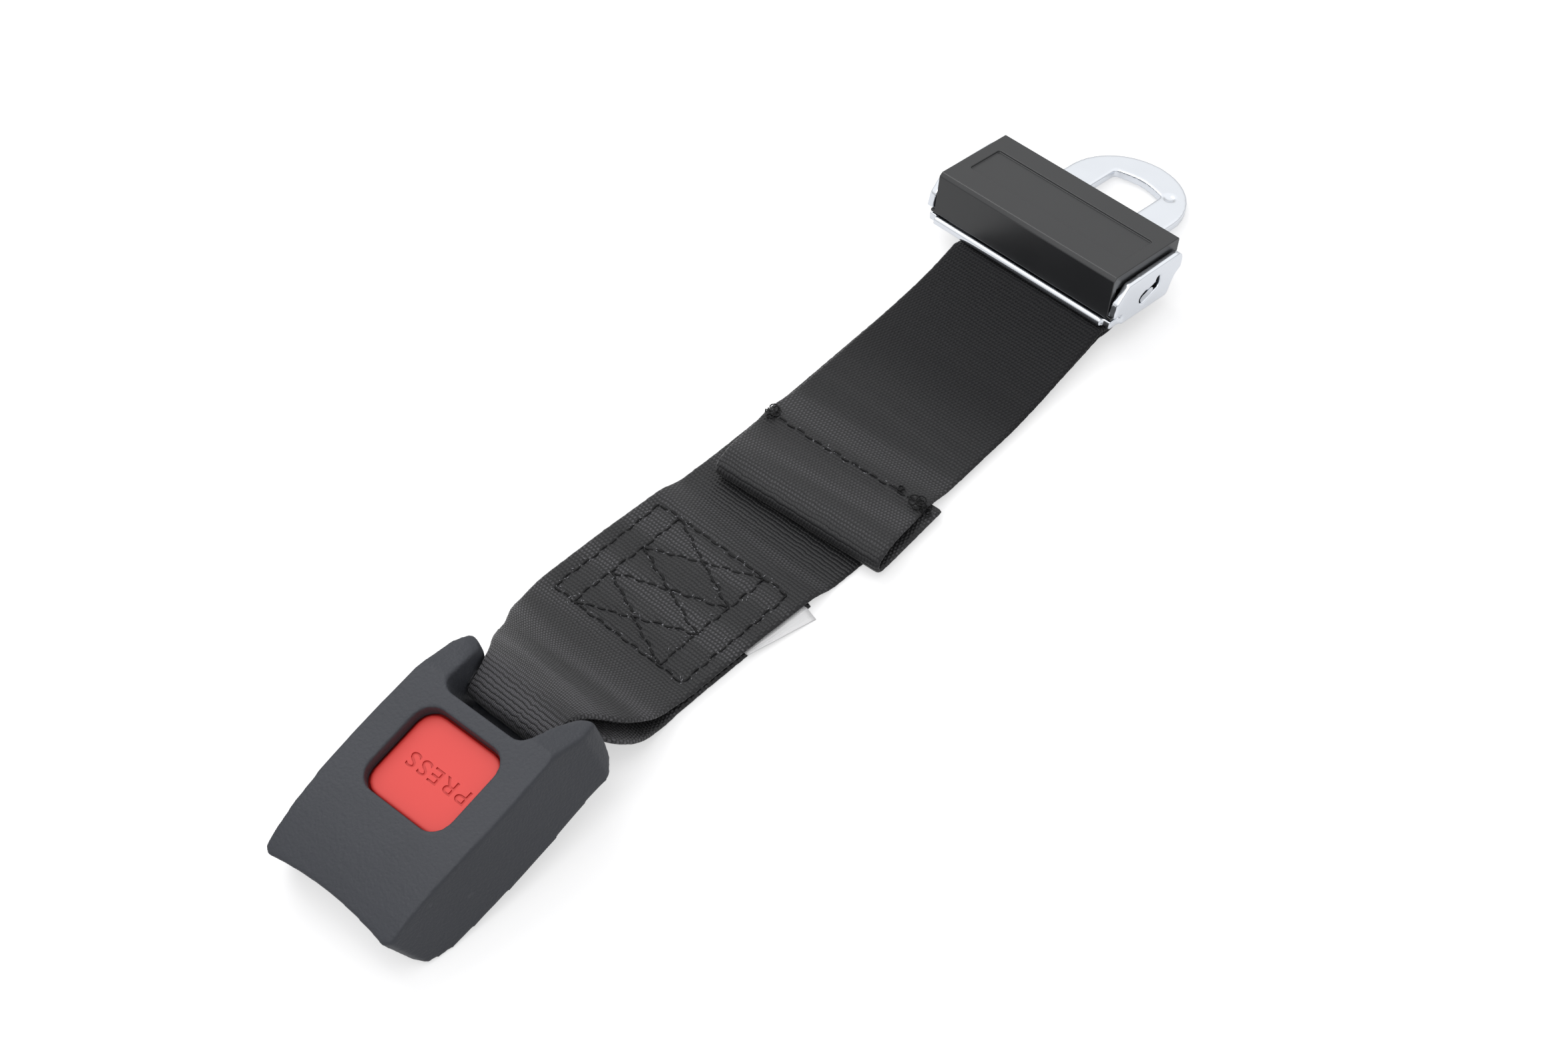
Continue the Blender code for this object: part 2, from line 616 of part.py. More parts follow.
def ear_outline():
    """One ear's side view: sloped back corner, round front corner and the step below it."""
    back, front = EAR_BACK_X, EAR_FRONT_X
    return rounded_polygon([
        (back + 3.4 * MM, PLATE_BOTTOM_Z + 0.6 * MM, 0.6 * MM),
        (front - 4.0 * MM, PLATE_BOTTOM_Z + 0.6 * MM, 1.4 * MM),
        (front - 2.2 * MM, 3.0 * MM, 0.8 * MM),
        (front, 4.8 * MM, 1.0 * MM),
        (front, EAR_HEIGHT, 2.6 * MM),
        (back + 4.2 * MM, EAR_HEIGHT - 0.4 * MM, 1.2 * MM),
        (back + 0.6 * MM, 5.0 * MM, 1.2 * MM),
        (back, 1.0 * MM, 0.5 * MM),
        (back + 3.4 * MM, 1.0 * MM, 0.6 * MM),
    ])


def slot_outline():
    """The ear's dog-leg slot: a wide lobe at the low end, a straight run and a hook at the high end."""
    run = Vector((math.cos(BAR_SLOPE), math.sin(BAR_SLOPE)))
    up = Vector((-run.y, run.x))
    middle = Vector((BAR_X, BAR_Z))
    half = TANG_THICKNESS / 2 + 0.25 * MM
    ahead = TANG_WIDTH / 2 + BAR_TRAVEL + 0.35 * MM
    behind = TANG_WIDTH / 2 + 0.35 * MM
    corners = [
        (middle - run * behind - up * half, half * 0.9),
        (middle + run * ahead - up * half, half * 0.7),
        (middle + run * (ahead + 0.7 * MM) + up * (half + 1.1 * MM), 0.5 * MM),
        (middle + run * (ahead - 0.7 * MM) + up * (half + 1.1 * MM), 0.5 * MM),
        (middle + run * (ahead - 1.1 * MM) + up * half, 0.2 * MM),
        (middle + run * 0.4 * MM + up * half, 0.2 * MM),
        (middle + run * 0.1 * MM + up * (half + 0.7 * MM), 0.3 * MM),
        (middle - run * behind + up * (half + 0.3 * MM), half * 0.9),
    ]
    return rounded_polygon([(p.x, p.y, r) for p, r in corners])


def tongue_plan():
    """The tongue's outline from the adjuster's shoulders to its round nose."""
    centre_x = TONGUE_TIP_X - TONGUE_HALF_WIDTH
    shoulder_x = WINDOW_FRONT_X + 4.5 * MM
    back_x = EAR_BACK_X + 3.4 * MM
    nose = arc((centre_x, 0.0), TONGUE_HALF_WIDTH, -90, 90, 20)
    right = rounded_polygon([
        (back_x, EAR_INNER_Y, 0),
        (back_x, -EAR_INNER_Y, 0),
        (EAR_FRONT_X - 4.0 * MM, -EAR_INNER_Y, 2.0 * MM),
        (shoulder_x, -TONGUE_HALF_WIDTH - 3.0 * MM, 2.5 * MM),
        (shoulder_x + 3.0 * MM, -TONGUE_HALF_WIDTH, 2.0 * MM),
        (centre_x, -TONGUE_HALF_WIDTH, 0),
    ])[1:-1]
    left = [(x, -y) for x, y in reversed(right)]
    aside_from = EAR_FRONT_X - 4.0 * MM
    aside_to = shoulder_x + 3.0 * MM
    outline = []
    for x, y in right + nose + left:
        share = min(1.0, max(0.0, (x - aside_from) / (aside_to - aside_from)))
        outline.append((x, y + TONGUE_SIDE_SHIFT * share))
    return outline


def tongue_frame(parent):
    """Stamped steel: tongue, window for the webbing, crossbar and two ears turned up."""
    made = add_object("tongue_frame", prism(tongue_plan(), PLATE_BOTTOM_Z, PLATE_TOP_Z), plated_steel(), parent)
    bar_back = EAR_BACK_X - 0.9 * MM
    bar_front = bar_back + CROSSBAR_WIDTH
    bar_middle = ((bar_back + bar_front) / 2, (PLATE_BOTTOM_Z + PLATE_TOP_Z) / 2)
    bar = rounded_rectangle(CROSSBAR_WIDTH / 2, PLATE_THICKNESS / 2, 0.9 * MM, steps=3, centre=bar_middle)
    reach = EAR_INNER_Y - 1.4 * MM
    cut(made, "crossbar", prism(bar, -reach, reach, axis="y"), "UNION")
    for index, sign in enumerate((-1, 1)):
        near = sign * (reach - 2.6 * MM)
        far = sign * (EAR_INNER_Y + 1.0 * MM)
        link = box((bar_back + 1.2 * MM, min(near, far), PLATE_BOTTOM_Z + 0.1 * MM),
                   (bar_front + 0.6 * MM, max(near, far), PLATE_TOP_Z - 0.1 * MM))
        cut(made, "crossbar_link_%d" % index, link, "UNION")
        near = sign * (EAR_INNER_Y - 0.3 * MM)
        root = box((bar_front, min(near, far), PLATE_BOTTOM_Z + 0.1 * MM),
                   (EAR_FRONT_X - 5.0 * MM, max(near, far), PLATE_TOP_Z - 0.1 * MM))
        cut(made, "ear_root_%d" % index, root, "UNION")
        ear_low = min(sign * EAR_INNER_Y, sign * EAR_OUTER_Y)
        ear_high = max(sign * EAR_INNER_Y, sign * EAR_OUTER_Y)
        cut(made, "ear_%d" % index, prism(ear_outline(), ear_low, ear_high, axis="y"), "UNION")
    window_half = EAR_INNER_Y - 0.35 * MM
    window = rounded_polygon([
        (bar_front + 0.6 * MM, -window_half, 0.4 * MM),
        (WINDOW_FRONT_X, -window_half, 3.0 * MM),
        (WINDOW_FRONT_X, window_half, 3.0 * MM),
        (bar_front + 0.6 * MM, window_half, 0.4 * MM),
        (bar_front + 0.6 * MM, reach - 2.6 * MM, 0.3 * MM),
        (bar_front, reach - 3.4 * MM, 0.3 * MM),
        (bar_front, -reach + 3.4 * MM, 0.3 * MM),
        (bar_front + 0.6 * MM, -reach + 2.6 * MM, 0.3 * MM),
    ])
    cut(made, "webbing_window", prism(window, PLATE_BOTTOM_Z - MM, PLATE_TOP_Z + MM))
    hole_right = TONGUE_SIDE_SHIFT - TONGUE_HOLE_HALF_WIDTH
    hole_left = TONGUE_SIDE_SHIFT + TONGUE_HOLE_HALF_WIDTH
    hole = rounded_polygon([
        (TONGUE_HOLE_BACK_X, hole_right, 1.4 * MM),
        (TONGUE_HOLE_FRONT_X - 2.0 * MM, hole_right, 1.2 * MM),
        (TONGUE_HOLE_FRONT_X, TONGUE_SIDE_SHIFT, 14 * MM),
        (TONGUE_HOLE_FRONT_X - 2.0 * MM, hole_left, 1.2 * MM),
        (TONGUE_HOLE_BACK_X, hole_left, 1.4 * MM),
    ])
    cut(made, "tongue_hole", prism(hole, PLATE_BOTTOM_Z - MM, PLATE_TOP_Z + MM))
    span = EAR_OUTER_Y + MM
    cut(made, "bar_slots", prism(slot_outline(), -span, span, axis="y"))
    soften(made, 0.3 * MM, segments=1, angle=50.0)
    return made


def slide_bar(parent):
    """The bar that clamps the webbing: a flat with knurled edges, and a tang at each end for the slots."""
    run = Vector((math.cos(BAR_SLOPE), math.sin(BAR_SLOPE)))
    up = Vector((-run.y, run.x))
    middle = Vector((BAR_X, BAR_Z))
    body_half = EAR_INNER_Y - 0.6 * MM
    tang_reach = EAR_OUTER_Y - 0.2 * MM

    def turned(points):
        return [tuple(middle + run * px + up * pz) for px, pz in points]

    body = []
    half_long = BAR_WIDTH / 2
    half_thick = BAR_THICKNESS / 2
    tooth_depth = 0.28 * MM
    for i in range(BAR_TEETH):
        angle = 2 * math.pi * i / BAR_TEETH
        for step, depth in ((0.0, 0.0), (0.5, tooth_depth)):
            turn = angle + step * 2 * math.pi / BAR_TEETH
            shape_x = math.copysign(abs(math.cos(turn)) ** 0.6, math.cos(turn))
            shape_z = math.copysign(abs(math.sin(turn)) ** 0.6, math.sin(turn))
            body.append((shape_x * (half_long - depth), shape_z * (half_thick - depth)))
    bm = prism(turned(body), -body_half, body_half, axis="y")
    made = add_object("slide_bar", bm, plated_steel(), parent, origin=(BAR_X, 0, BAR_Z))
    tang = rounded_rectangle(TANG_WIDTH / 2, TANG_THICKNESS / 2, TANG_THICKNESS / 2 * 0.95, steps=3)
    cut(made, "bar_tangs", prism(turned(tang), -tang_reach, tang_reach, axis="y"), "UNION")
    return made


def adjuster_cover(parent):
    """The cover: an inverted channel with a chamfer on its back edge, a bare sunken panel and four feet."""
    half = COVER_DEPTH / 2
    top = COVER_HEIGHT
    profile = [(-half, 0.0), (-half + COVER_WALL, 0.0), (-half + COVER_WALL, top - COVER_WALL),
               (half - COVER_WALL, top - COVER_WALL), (half - COVER_WALL, 0.6 * MM), (half, 0.6 * MM),
               (half, top - 0.4 * MM), (half - 0.4 * MM, top), (-half + COVER_CHAMFER, top),
               (-half, top - COVER_CHAMFER)]
    reach = COVER_LENGTH / 2
    made = add_object("adjuster_cover", prism(profile, -reach, reach, axis="y"), cover_plastic(), parent)
    for index, sign in enumerate((-1, 1)):
        near = sign * (reach - FOOT_LENGTH)
        far = sign * (reach + FOOT_REACH)
        foot = box((-half, min(near, far), FOOT_LOW), (-half + COVER_WALL * 0.9, max(near, far), FOOT_HIGH))
        cut(made, "foot_%d" % index, foot, "UNION")
        end_low = min(sign * (reach - COVER_WALL), sign * reach)
        end_high = max(sign * (reach - COVER_WALL), sign * reach)
        wall_low = EAR_HEIGHT * 0.82
        end_wall = box((-half + 1.0 * MM, end_low, wall_low), (half - 1.0 * MM, end_high, top - 1.0 * MM))
        cut(made, "end_wall_%d" % index, end_wall, "UNION")
    panel = rounded_rectangle(PANEL_DEPTH / 2, PANEL_LENGTH / 2, 0.4 * MM, steps=1, centre=(0.5 * MM, 0.0))
    cut(made, "panel_recess", prism(panel, top - PANEL_SINK, top + MM))
    return made


def to_world(parent, x, z):
    """Where a point of an end's side view lies in the belt's side view."""
    point = parent.matrix_basis @ Vector((x, 0.0, z))
    return Vector((point.x, point.z))


def bezier(start, control_a, control_b, end, steps):
    points = []
    for i in range(1, steps + 1):
        t = i / steps
        s = 1 - t
        points.append(start * s ** 3 + control_a * 3 * s ** 2 * t + control_b * 3 * s * t ** 2 + end * t ** 3)
    return points


def smooth_run(points, steps):
    """A smooth curve through hand-placed points (Catmull-Rom), without its first point."""
    run = []
    padded = [points[0] * 2 - points[1]] + points + [points[-1] * 2 - points[-2]]
    for i in range(1, len(padded) - 2):
        a, b, c, d = padded[i - 1:i + 3]
        for j in range(1, steps + 1):
            t = j / steps
            run.append(0.5 * (b * 2 + (c - a) * t + (a * 2 - b * 5 + c * 4 - d) * t * t
                              + (b * 3 - a - c * 3 + d) * t ** 3))
    return run


def strap_route(buckle, adjuster):
    """The strap's middle line in side view, from the cut tail to the folded tab's hem."""
    def at_buckle(x, z):
        return to_world(buckle, x, z)

    def at_adjuster(x, z):
        return to_world(adjuster, x, z)

    route = [Vector((TAIL_END_X, FLOOR_LAYER_Z))]
    for i in range(1, 7):
        route.append(Vector((TAIL_END_X + (STITCH_END_X - 4 * MM - TAIL_END_X) * i / 6, FLOOR_LAYER_Z)))
    anchor_z = FRAME_Z + FRAME_SHEET / 2
    wrap_z = FRAME_SHEET / 2 + RUNNING_GAP + WEB_THICKNESS / 2 + 0.8 * MM
    wrap_x = ANCHOR_WIDTH / 2 + RUNNING_GAP + WEB_THICKNESS / 2 + 0.9 * MM
    below = at_buckle(ANCHOR_X + 0.6 * MM, anchor_z - wrap_z)
    route += bezier(route[-1], route[-1] + Vector((-16 * MM, 0)), below + Vector((9 * MM, 1.2 * MM)), below, 12)
    for i in range(1, 8):
        turn = math.radians(-90 - 180 * i / 8)
        route.append(at_buckle(ANCHOR_X + wrap_x * math.cos(turn), anchor_z + wrap_z * math.sin(turn)))
    above = at_buckle(ANCHOR_X + 1.0 * MM, anchor_z + wrap_z + 0.3 * MM)
    route.append(above)
    sewn = Vector((STITCH_END_X, SEWN_LAYER_Z))
    route += bezier(above, above + Vector((9 * MM, 5.0 * MM)), sewn + Vector((-17 * MM, 0)), sewn, 14)
    sewn_end = Vector((TAIL_END_X - 1 * MM, SEWN_LAYER_Z))
    for i in range(1, 6):
        route.append(sewn + (sewn_end - sewn) * i / 5)
    floor_start = Vector((TAIL_END_X + 9 * MM, FLOOR_LAYER_Z))
    step = Vector((4 * MM, 0))
    route += bezier(sewn_end, sewn_end + step, floor_start - step, floor_start, 5)
    lift = Vector((LIFT_START_X, FLOOR_LAYER_Z))
    for i in range(1, 9):
        route.append(floor_start + (lift - floor_start) * i / 8)
    under_bar = PLATE_BOTTOM_Z - RUNNING_GAP - WEB_THICKNESS / 2
    back_x = EAR_BACK_X - 0.9 * MM
    enter = at_adjuster(back_x - 0.5 * MM, under_bar - LAYER_PITCH)
    route += bezier(lift, lift + Vector((13 * MM, 0)), enter - Vector((9 * MM, 2.7 * MM)), enter, 9)
    bar_low = BAR_Z - BAR_THICKNESS
    loop = [
        enter,
        at_adjuster(back_x + 4.2 * MM, under_bar - LAYER_PITCH + 0.35 * MM),
        at_adjuster(back_x + 8.6 * MM, bar_low - 1.9 * MM),
        at_adjuster(BAR_X + 0.5 * MM, bar_low - 0.5 * MM),
        at_adjuster(BAR_X + 5.0 * MM, bar_low + 0.9 * MM),
        at_adjuster(BAR_X + 7.3 * MM, BAR_Z + 1.2 * MM),
        at_adjuster(BAR_X + 5.2 * MM, BAR_Z + 4.2 * MM),
        at_adjuster(BAR_X, BAR_Z + 4.1 * MM),
        at_adjuster(BAR_X - 4.4 * MM, BAR_Z + 1.6 * MM),
        at_adjuster(BAR_X - 6.4 * MM, BAR_Z - 2.4 * MM),
        at_adjuster(back_x + 4.3 * MM, under_bar - 0.1 * MM),
        at_adjuster(back_x - 0.5 * MM, under_bar),
    ]
    route += smooth_run(loop, 4)
    upper_z = FLOOR_LAYER_Z + LAYER_PITCH
    settle = Vector((LIFT_START_X, upper_z))
    leave = route[-1]
    route += bezier(leave, leave - Vector((9 * MM, 2.6 * MM)), settle + Vector((13 * MM, 0)), settle, 9)
    top_z = upper_z + LAYER_PITCH
    hem_end = Vector((TAB_SEAM_X + TAB_HEM, upper_z))
    rise_start = Vector((hem_end.x + 8 * MM, upper_z))
    for i in range(1, 4):
        route.append(settle + (rise_start - settle) * i / 3)
    seam = Vector((TAB_SEAM_X + 0.5 * MM, top_z))
    route += bezier(rise_start, rise_start - step, seam + step * 0.8, seam, 5)
    crown = Vector((TAB_FOLD_X + 4.6 * MM, upper_z + 2 * TAB_FOLD_RADIUS + 0.4 * MM))
    route += bezier(seam, seam - step * 1.6, crown + step * 1.2, crown, 6)
    fold_x = TAB_FOLD_X + TAB_FOLD_RADIUS
    fold_z = upper_z + TAB_FOLD_RADIUS
    for i in range(1, 8):
        turn = math.radians(90 + 180 * i / 8)
        route.append(Vector((fold_x + TAB_FOLD_RADIUS * math.cos(turn), fold_z + TAB_FOLD_RADIUS * math.sin(turn))))
    flat_start = Vector((fold_x + 1.5 * MM, upper_z))
    for i in range(5):
        route.append(flat_start + (hem_end - flat_start) * i / 4)
    return route


def between(stations, x):
    """The value at x on straight runs between (x, value) stations."""
    if x <= stations[0][0]:
        return stations[0][1]
    for (x0, value0), (x1, value1) in zip(stations, stations[1:]):
        if x <= x1:
            return value0 + (value1 - value0) * (x - x0) / (x1 - x0)
    return stations[-1][1]


def horn_tip_x():
    """Where the housing's horns end, in the belt's side view."""
    return BUCKLE_AT.x + HORN_TIP_X * math.cos(BUCKLE_PITCH)


def strap_middle_y(x, layer):
    """The sideways place of the middle of the strap's lower, upper or folded-under layer."""
    at_end = ADJUSTER_Y - EAR_INNER_Y + PASSAGE_HALF_WIDTH + 0.65 * MM
    enter_x = ADJUSTER_X + EAR_BACK_X
    tab_y = 1.1 * MM
    if layer == "upper":
        slope = (at_end - tab_y) / (enter_x - TAB_SEAM_X)
        if x > TAB_SEAM_X:
            return at_end + slope * min(0.0, x - enter_x)
        return tab_y + (TAB_SIDE_SHIFT - tab_y) * (TAB_SEAM_X - x) / (TAB_SEAM_X - TAB_FOLD_X)
    if layer == "under":
        return TAB_SIDE_SHIFT + 0.085 * (x - TAB_FOLD_X)
    if x > 0:
        share = min(1.0, x / enter_x)
        middle_y = 2.2 * MM
        return middle_y + (at_end - middle_y) * share * share * (3 - 2 * share)
    tip_x = horn_tip_x()
    bar_y = BUCKLE_AT.y + ANCHOR_X * math.sin(BUCKLE_YAW)
    return between([
        (tip_x - 6.0 * MM, bar_y),
        (tip_x - 2.2 * MM, -6.0 * MM),
        (tip_x + 3.2 * MM, -3.2 * MM),
        (tip_x + 9.2 * MM, -1.6 * MM),
        (tip_x + 17.0 * MM, 0.8 * MM),
        (tip_x + 24.0 * MM, 2.5 * MM),
        (STITCH_END_X, 2.9 * MM),
        (STITCH_END_X + 18 * MM, 2.8 * MM),
        (TAIL_END_X, 2.3 * MM),
    ], x)


def strap_half_width(x, tail=False):
    """Half the strap's width: gathered between the horns, fanned out, and a little cramped by the ears."""
    tip_x = horn_tip_x()
    gathered = [(tip_x - 9.0 * MM, NOTCH_HALF_WIDTH + 0.3 * MM), (tip_x - 2.2 * MM, NOTCH_HALF_WIDTH + 1.1 * MM)]
    if tail:
        return between(gathered + [
            (tip_x + 1.5 * MM, NOTCH_HALF_WIDTH + 3.0 * MM),
            (tip_x + 4.0 * MM, NOTCH_HALF_WIDTH + 6.8 * MM),
            (tip_x + 10.0 * MM, NOTCH_HALF_WIDTH + 8.5 * MM),
            (tip_x + 20.0 * MM, NOTCH_HALF_WIDTH + 10.7 * MM),
            (STITCH_END_X - 1.0 * MM, WEB_WIDTH / 2),
        ], x)
    return between(gathered + [
        (tip_x + 1.5 * MM, NOTCH_HALF_WIDTH + 3.0 * MM),
        (tip_x + 7.0 * MM, NOTCH_HALF_WIDTH + 7.2 * MM),
        (tip_x + 16.0 * MM, WEB_WIDTH / 2 - 1.4 * MM),
        (STITCH_END_X - 1.0 * MM, WEB_WIDTH / 2),
        (LIFT_START_X + 4.0 * MM, WEB_WIDTH / 2),
        (ADJUSTER_X + EAR_BACK_X - 6.0 * MM, PASSAGE_HALF_WIDTH),
    ], x)


def webbing_strap(buckle, adjuster):
    """One length of webbing, swept as a thin flat section along its route."""
    route = strap_route(buckle, adjuster)
    across = [-1.0, -0.93, -0.8, -0.5, 0.0, 0.5, 0.8, 0.93, 1.0]
    turn_index = max(range(len(route)), key=lambda i: route[i].x)
    buckle_turn = min(range(len(route)), key=lambda i: route[i].x)
    bar_x = to_world(buckle, ANCHOR_X, FRAME_Z).x
    fold_index = min(range(turn_index, len(route)), key=lambda i: route[i].x)
    skew_end = TAB_SEAM_X + 9 * MM
    rings = []
    for i, point in enumerate(route):
        before = route[max(i - 1, 0)]
        after = route[min(i + 1, len(route) - 1)]
        along = (after - before).normalized()
        normal = Vector((-along.y, along.x))
        half = strap_half_width(point.x, i < buckle_turn)
        gather = 1 - half / (WEB_WIDTH / 2)
        thick = WEB_THICKNESS / 2 * (1 + 0.35 * gather)
        layer = "lower" if i <= turn_index else "upper" if i <= fold_index else "under"
        middle_y = strap_middle_y(point.x, layer)
        skew = 0.0 if i <= turn_index else TAB_SKEW * min(1.0, max(0.0, (skew_end - point.x) / (8 * MM)))
        loaded = buckle_turn < i
        past_bar = min(1.0, max(0.0, (point.x - bar_x - 3 * MM) / (8 * MM)))
        curl = 6.0 * MM * gather * (1 - gather) * past_bar * (1.0 if loaded else 0.35)
        upper_side, lower_side = [], []
        for share in across:
            droop = curl * abs(share) ** 3
            edge = thick * (0.55 if abs(share) == 1.0 else 1.0)
            y = middle_y + share * half
            for side, store in ((1, upper_side), (-1, lower_side)):
                spot = point + normal * side * edge
                store.append((spot.x - skew * share * half, y, spot.y - droop))
        rings.append(upper_side + list(reversed(lower_side)))
    return add_object("webbing_strap", loft(bmesh.new(), rings), polyester(), None, smooth_angle=60.0)


def white_label():
    """A blank satin label caught between the sewn layers: flush at one end, hanging to the floor at the other."""
    high = FLOOR_LAYER_Z + WEB_THICKNESS / 2 + RUNNING_GAP
    strap_edge = strap_middle_y(TAIL_END_X, "lower") - WEB_WIDTH / 2
    far_x = TAIL_END_X - 1.6 * MM
    near_x = far_x - LABEL_LENGTH
    stations = [
        (LABEL_TUCK, LABEL_TUCK, high),
        (2.0 * MM, 2.0 * MM, high),
        (0.9 * MM, -0.5 * MM, high - 0.05 * MM),
        (0.6 * MM, -0.45 * LABEL_OVERHANG, high - 0.6 * MM),
        (0.3 * MM, -0.75 * LABEL_OVERHANG, 0.35 * MM),
        (0.0, -LABEL_OVERHANG, 0.05 * MM),
    ]
    rings = []
    for near, far, z in stations:
        near_y, far_y = strap_edge + near, strap_edge + far
        rings.append([(near_x, near_y, high), (far_x, far_y, z),
                      (far_x, far_y, z + LABEL_THICKNESS), (near_x, near_y, high + LABEL_THICKNESS)])
    return add_object("white_label", loft(bmesh.new(), rings), satin())


def centre_on_floor():
    """Move everything so that the middle of the whole part's box is over the origin."""
    bpy.context.view_layer.update()
    graph = bpy.context.evaluated_depsgraph_get()
    low = Vector((math.inf,) * 3)
    high = Vector((-math.inf,) * 3)
    for item in bpy.context.scene.objects:
        if item.type != "MESH" or item.hide_render:
            continue
        shape = item.evaluated_get(graph)
        for vertex in shape.data.vertices:
            spot = shape.matrix_world @ vertex.co
            low = Vector(map(min, low, spot))
            high = Vector(map(max, high, spot))
    shift = Vector((-(low.x + high.x) / 2, -(low.y + high.y) / 2, -low.z))
    for item in bpy.context.scene.objects:
        if item.parent is None:
            item.location += shift
    bpy.context.view_layer.update()


def build():
    clear_scene()
    buckle = frame_empty("buckle_end", BUCKLE_AT, BUCKLE_PITCH, BUCKLE_YAW)
    adjuster = frame_empty("adjuster_end", ADJUSTER_AT, -ADJUSTER_PITCH, ADJUSTER_YAW)
    upper_shell(buckle)
    lower_shell(buckle)
    press_button(buckle)
    buckle_frame(buckle)
    latch_pin(buckle)
    latch_plate(buckle)
    latch_spring(buckle)
    ejector(buckle)
    ejector_spring(buckle)
    tongue_frame(adjuster)
    slide_bar(adjuster)
    adjuster_cover(adjuster)
    webbing_strap(buckle, adjuster)
    white_label()
    centre_on_floor()


build()
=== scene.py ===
"""Looks of the seat belt extender: buckle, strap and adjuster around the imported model.

Metres, in the model's own frame: +X from the buckle's mouth to the tongue's tip, +Z up.
"""

import math
import random

import bmesh
import bpy
from mathutils import Matrix, Vector, noise
from mathutils.bvhtree import BVHTree


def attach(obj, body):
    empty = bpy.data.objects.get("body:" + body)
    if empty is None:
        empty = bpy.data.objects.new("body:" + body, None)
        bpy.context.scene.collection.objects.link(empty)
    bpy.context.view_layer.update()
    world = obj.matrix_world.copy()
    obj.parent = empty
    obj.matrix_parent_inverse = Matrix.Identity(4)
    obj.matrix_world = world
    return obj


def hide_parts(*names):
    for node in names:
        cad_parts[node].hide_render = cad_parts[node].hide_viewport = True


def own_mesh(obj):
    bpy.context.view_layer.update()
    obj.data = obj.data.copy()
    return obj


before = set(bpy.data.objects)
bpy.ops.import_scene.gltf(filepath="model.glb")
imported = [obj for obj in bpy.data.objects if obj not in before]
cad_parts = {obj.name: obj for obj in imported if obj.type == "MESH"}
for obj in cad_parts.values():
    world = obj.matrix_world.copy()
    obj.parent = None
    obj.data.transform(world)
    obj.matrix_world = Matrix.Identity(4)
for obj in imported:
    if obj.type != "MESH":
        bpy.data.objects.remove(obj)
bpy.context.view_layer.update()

# The camera stands over the buckle's side of the belt and looks down along it, as in the
# photograph: a long lens, level, aimed at a point near the middle of the strap.
MM = 0.001
belt_origin = Vector((-4.957, -5.177, 0.047))
camera_target = belt_origin * MM
camera_azimuth = math.radians(-136.88)
camera_elevation = math.radians(48.27)
camera_distance = 634.46 * MM
camera_lens_mm = 64.2

camera_data = bpy.data.cameras.new("camera")
camera_data.lens = camera_lens_mm
camera_data.sensor_width = 36.0
camera_data.clip_start = 0.01
camera = bpy.data.objects.new("camera", camera_data)
bpy.context.scene.collection.objects.link(camera)
towards_camera = Vector((
    math.cos(camera_elevation) * math.cos(camera_azimuth),
    math.cos(camera_elevation) * math.sin(camera_azimuth),
    math.sin(camera_elevation)))
camera.location = camera_target + towards_camera * camera_distance
camera.rotation_euler = towards_camera.to_track_quat("Z", "Y").to_euler()
bpy.context.scene.camera = camera

# The white table that the belt lies on, and the white cove behind it: seamless paper, matt.
# The camera sees it as white, also where it lies far from the lamps. Polished metal sees it a
# little greyer, and it takes the belt's shadow.
paper_half_size = 3.0
paper_in_metal = 0.33


def linear(code):
    """An sRGB hex colour as the linear values that Blender's sockets take."""
    channels = [int(code[i:i + 2], 16) / 255 for i in (1, 3, 5)]
    return [c / 12.92 if c <= 0.04045 else ((c + 0.055) / 1.055) ** 2.4 for c in channels] + [1.0]


def add_node(tree, kind, inputs=None, **settings):
    """Add a node, set its settings, and give each named input a value or a link."""
    node = tree.nodes.new(kind)
    for name, value in settings.items():
        setattr(node, name, value)
    for name, value in (inputs or {}).items():
        if isinstance(value, bpy.types.NodeSocket):
            tree.links.new(value, node.inputs[name])
        else:
            node.inputs[name].default_value = value
    return node


def new_material(name):
    """A material with an empty tree, and its output node."""
    made = bpy.data.materials.new(name)
    made.use_nodes = True
    made.node_tree.nodes.clear()
    return made, made.node_tree, made.node_tree.nodes.new("ShaderNodeOutputMaterial")


paper, paper_tree, paper_output = new_material("matt_white_paper")
paper_matt = add_node(paper_tree, "ShaderNodeBsdfDiffuse", {"Color": linear("#C9C9CA")})
paper_path = add_node(paper_tree, "ShaderNodeLightPath")
paper_place = add_node(paper_tree, "ShaderNodeTexCoord")
paper_reach = add_node(paper_tree, "ShaderNodeVectorMath", {0: paper_place.outputs["Object"]},
        operation="LENGTH")
paper_far = add_node(paper_tree, "ShaderNodeMapRange", {"Value": paper_reach.outputs["Value"],
        "From Min": 0.2, "From Max": 0.9, "To Min": 0.57, "To Max": 0.85})
paper_direct = add_node(paper_tree, "ShaderNodeMath", {0: paper_path.outputs["Is Camera Ray"],
        1: paper_path.outputs["Is Transmission Ray"]}, operation="MAXIMUM")
paper_seen = add_node(paper_tree, "ShaderNodeMath", {0: paper_direct.outputs[0],
        1: paper_far.outputs[0]}, operation="MULTIPLY")
paper_lift = add_node(paper_tree, "ShaderNodeMath", {0: paper_path.outputs["Is Glossy Ray"],
        1: paper_in_metal, 2: paper_seen.outputs[0]}, operation="MULTIPLY_ADD")
paper_glow = add_node(paper_tree, "ShaderNodeEmission", {"Color": linear("#FFFFFF"),
        "Strength": paper_lift.outputs[0]})
paper_sum = add_node(paper_tree, "ShaderNodeAddShader", {0: paper_matt.outputs[0],
        1: paper_glow.outputs[0]})
paper_tree.links.new(paper_sum.outputs[0], paper_output.inputs["Surface"])
paper_mesh = bpy.data.meshes.new("table")
paper_corners = [(x * paper_half_size, y * paper_half_size, 0)
                 for x, y in ((-1, -1), (1, -1), (1, 1), (-1, 1))]
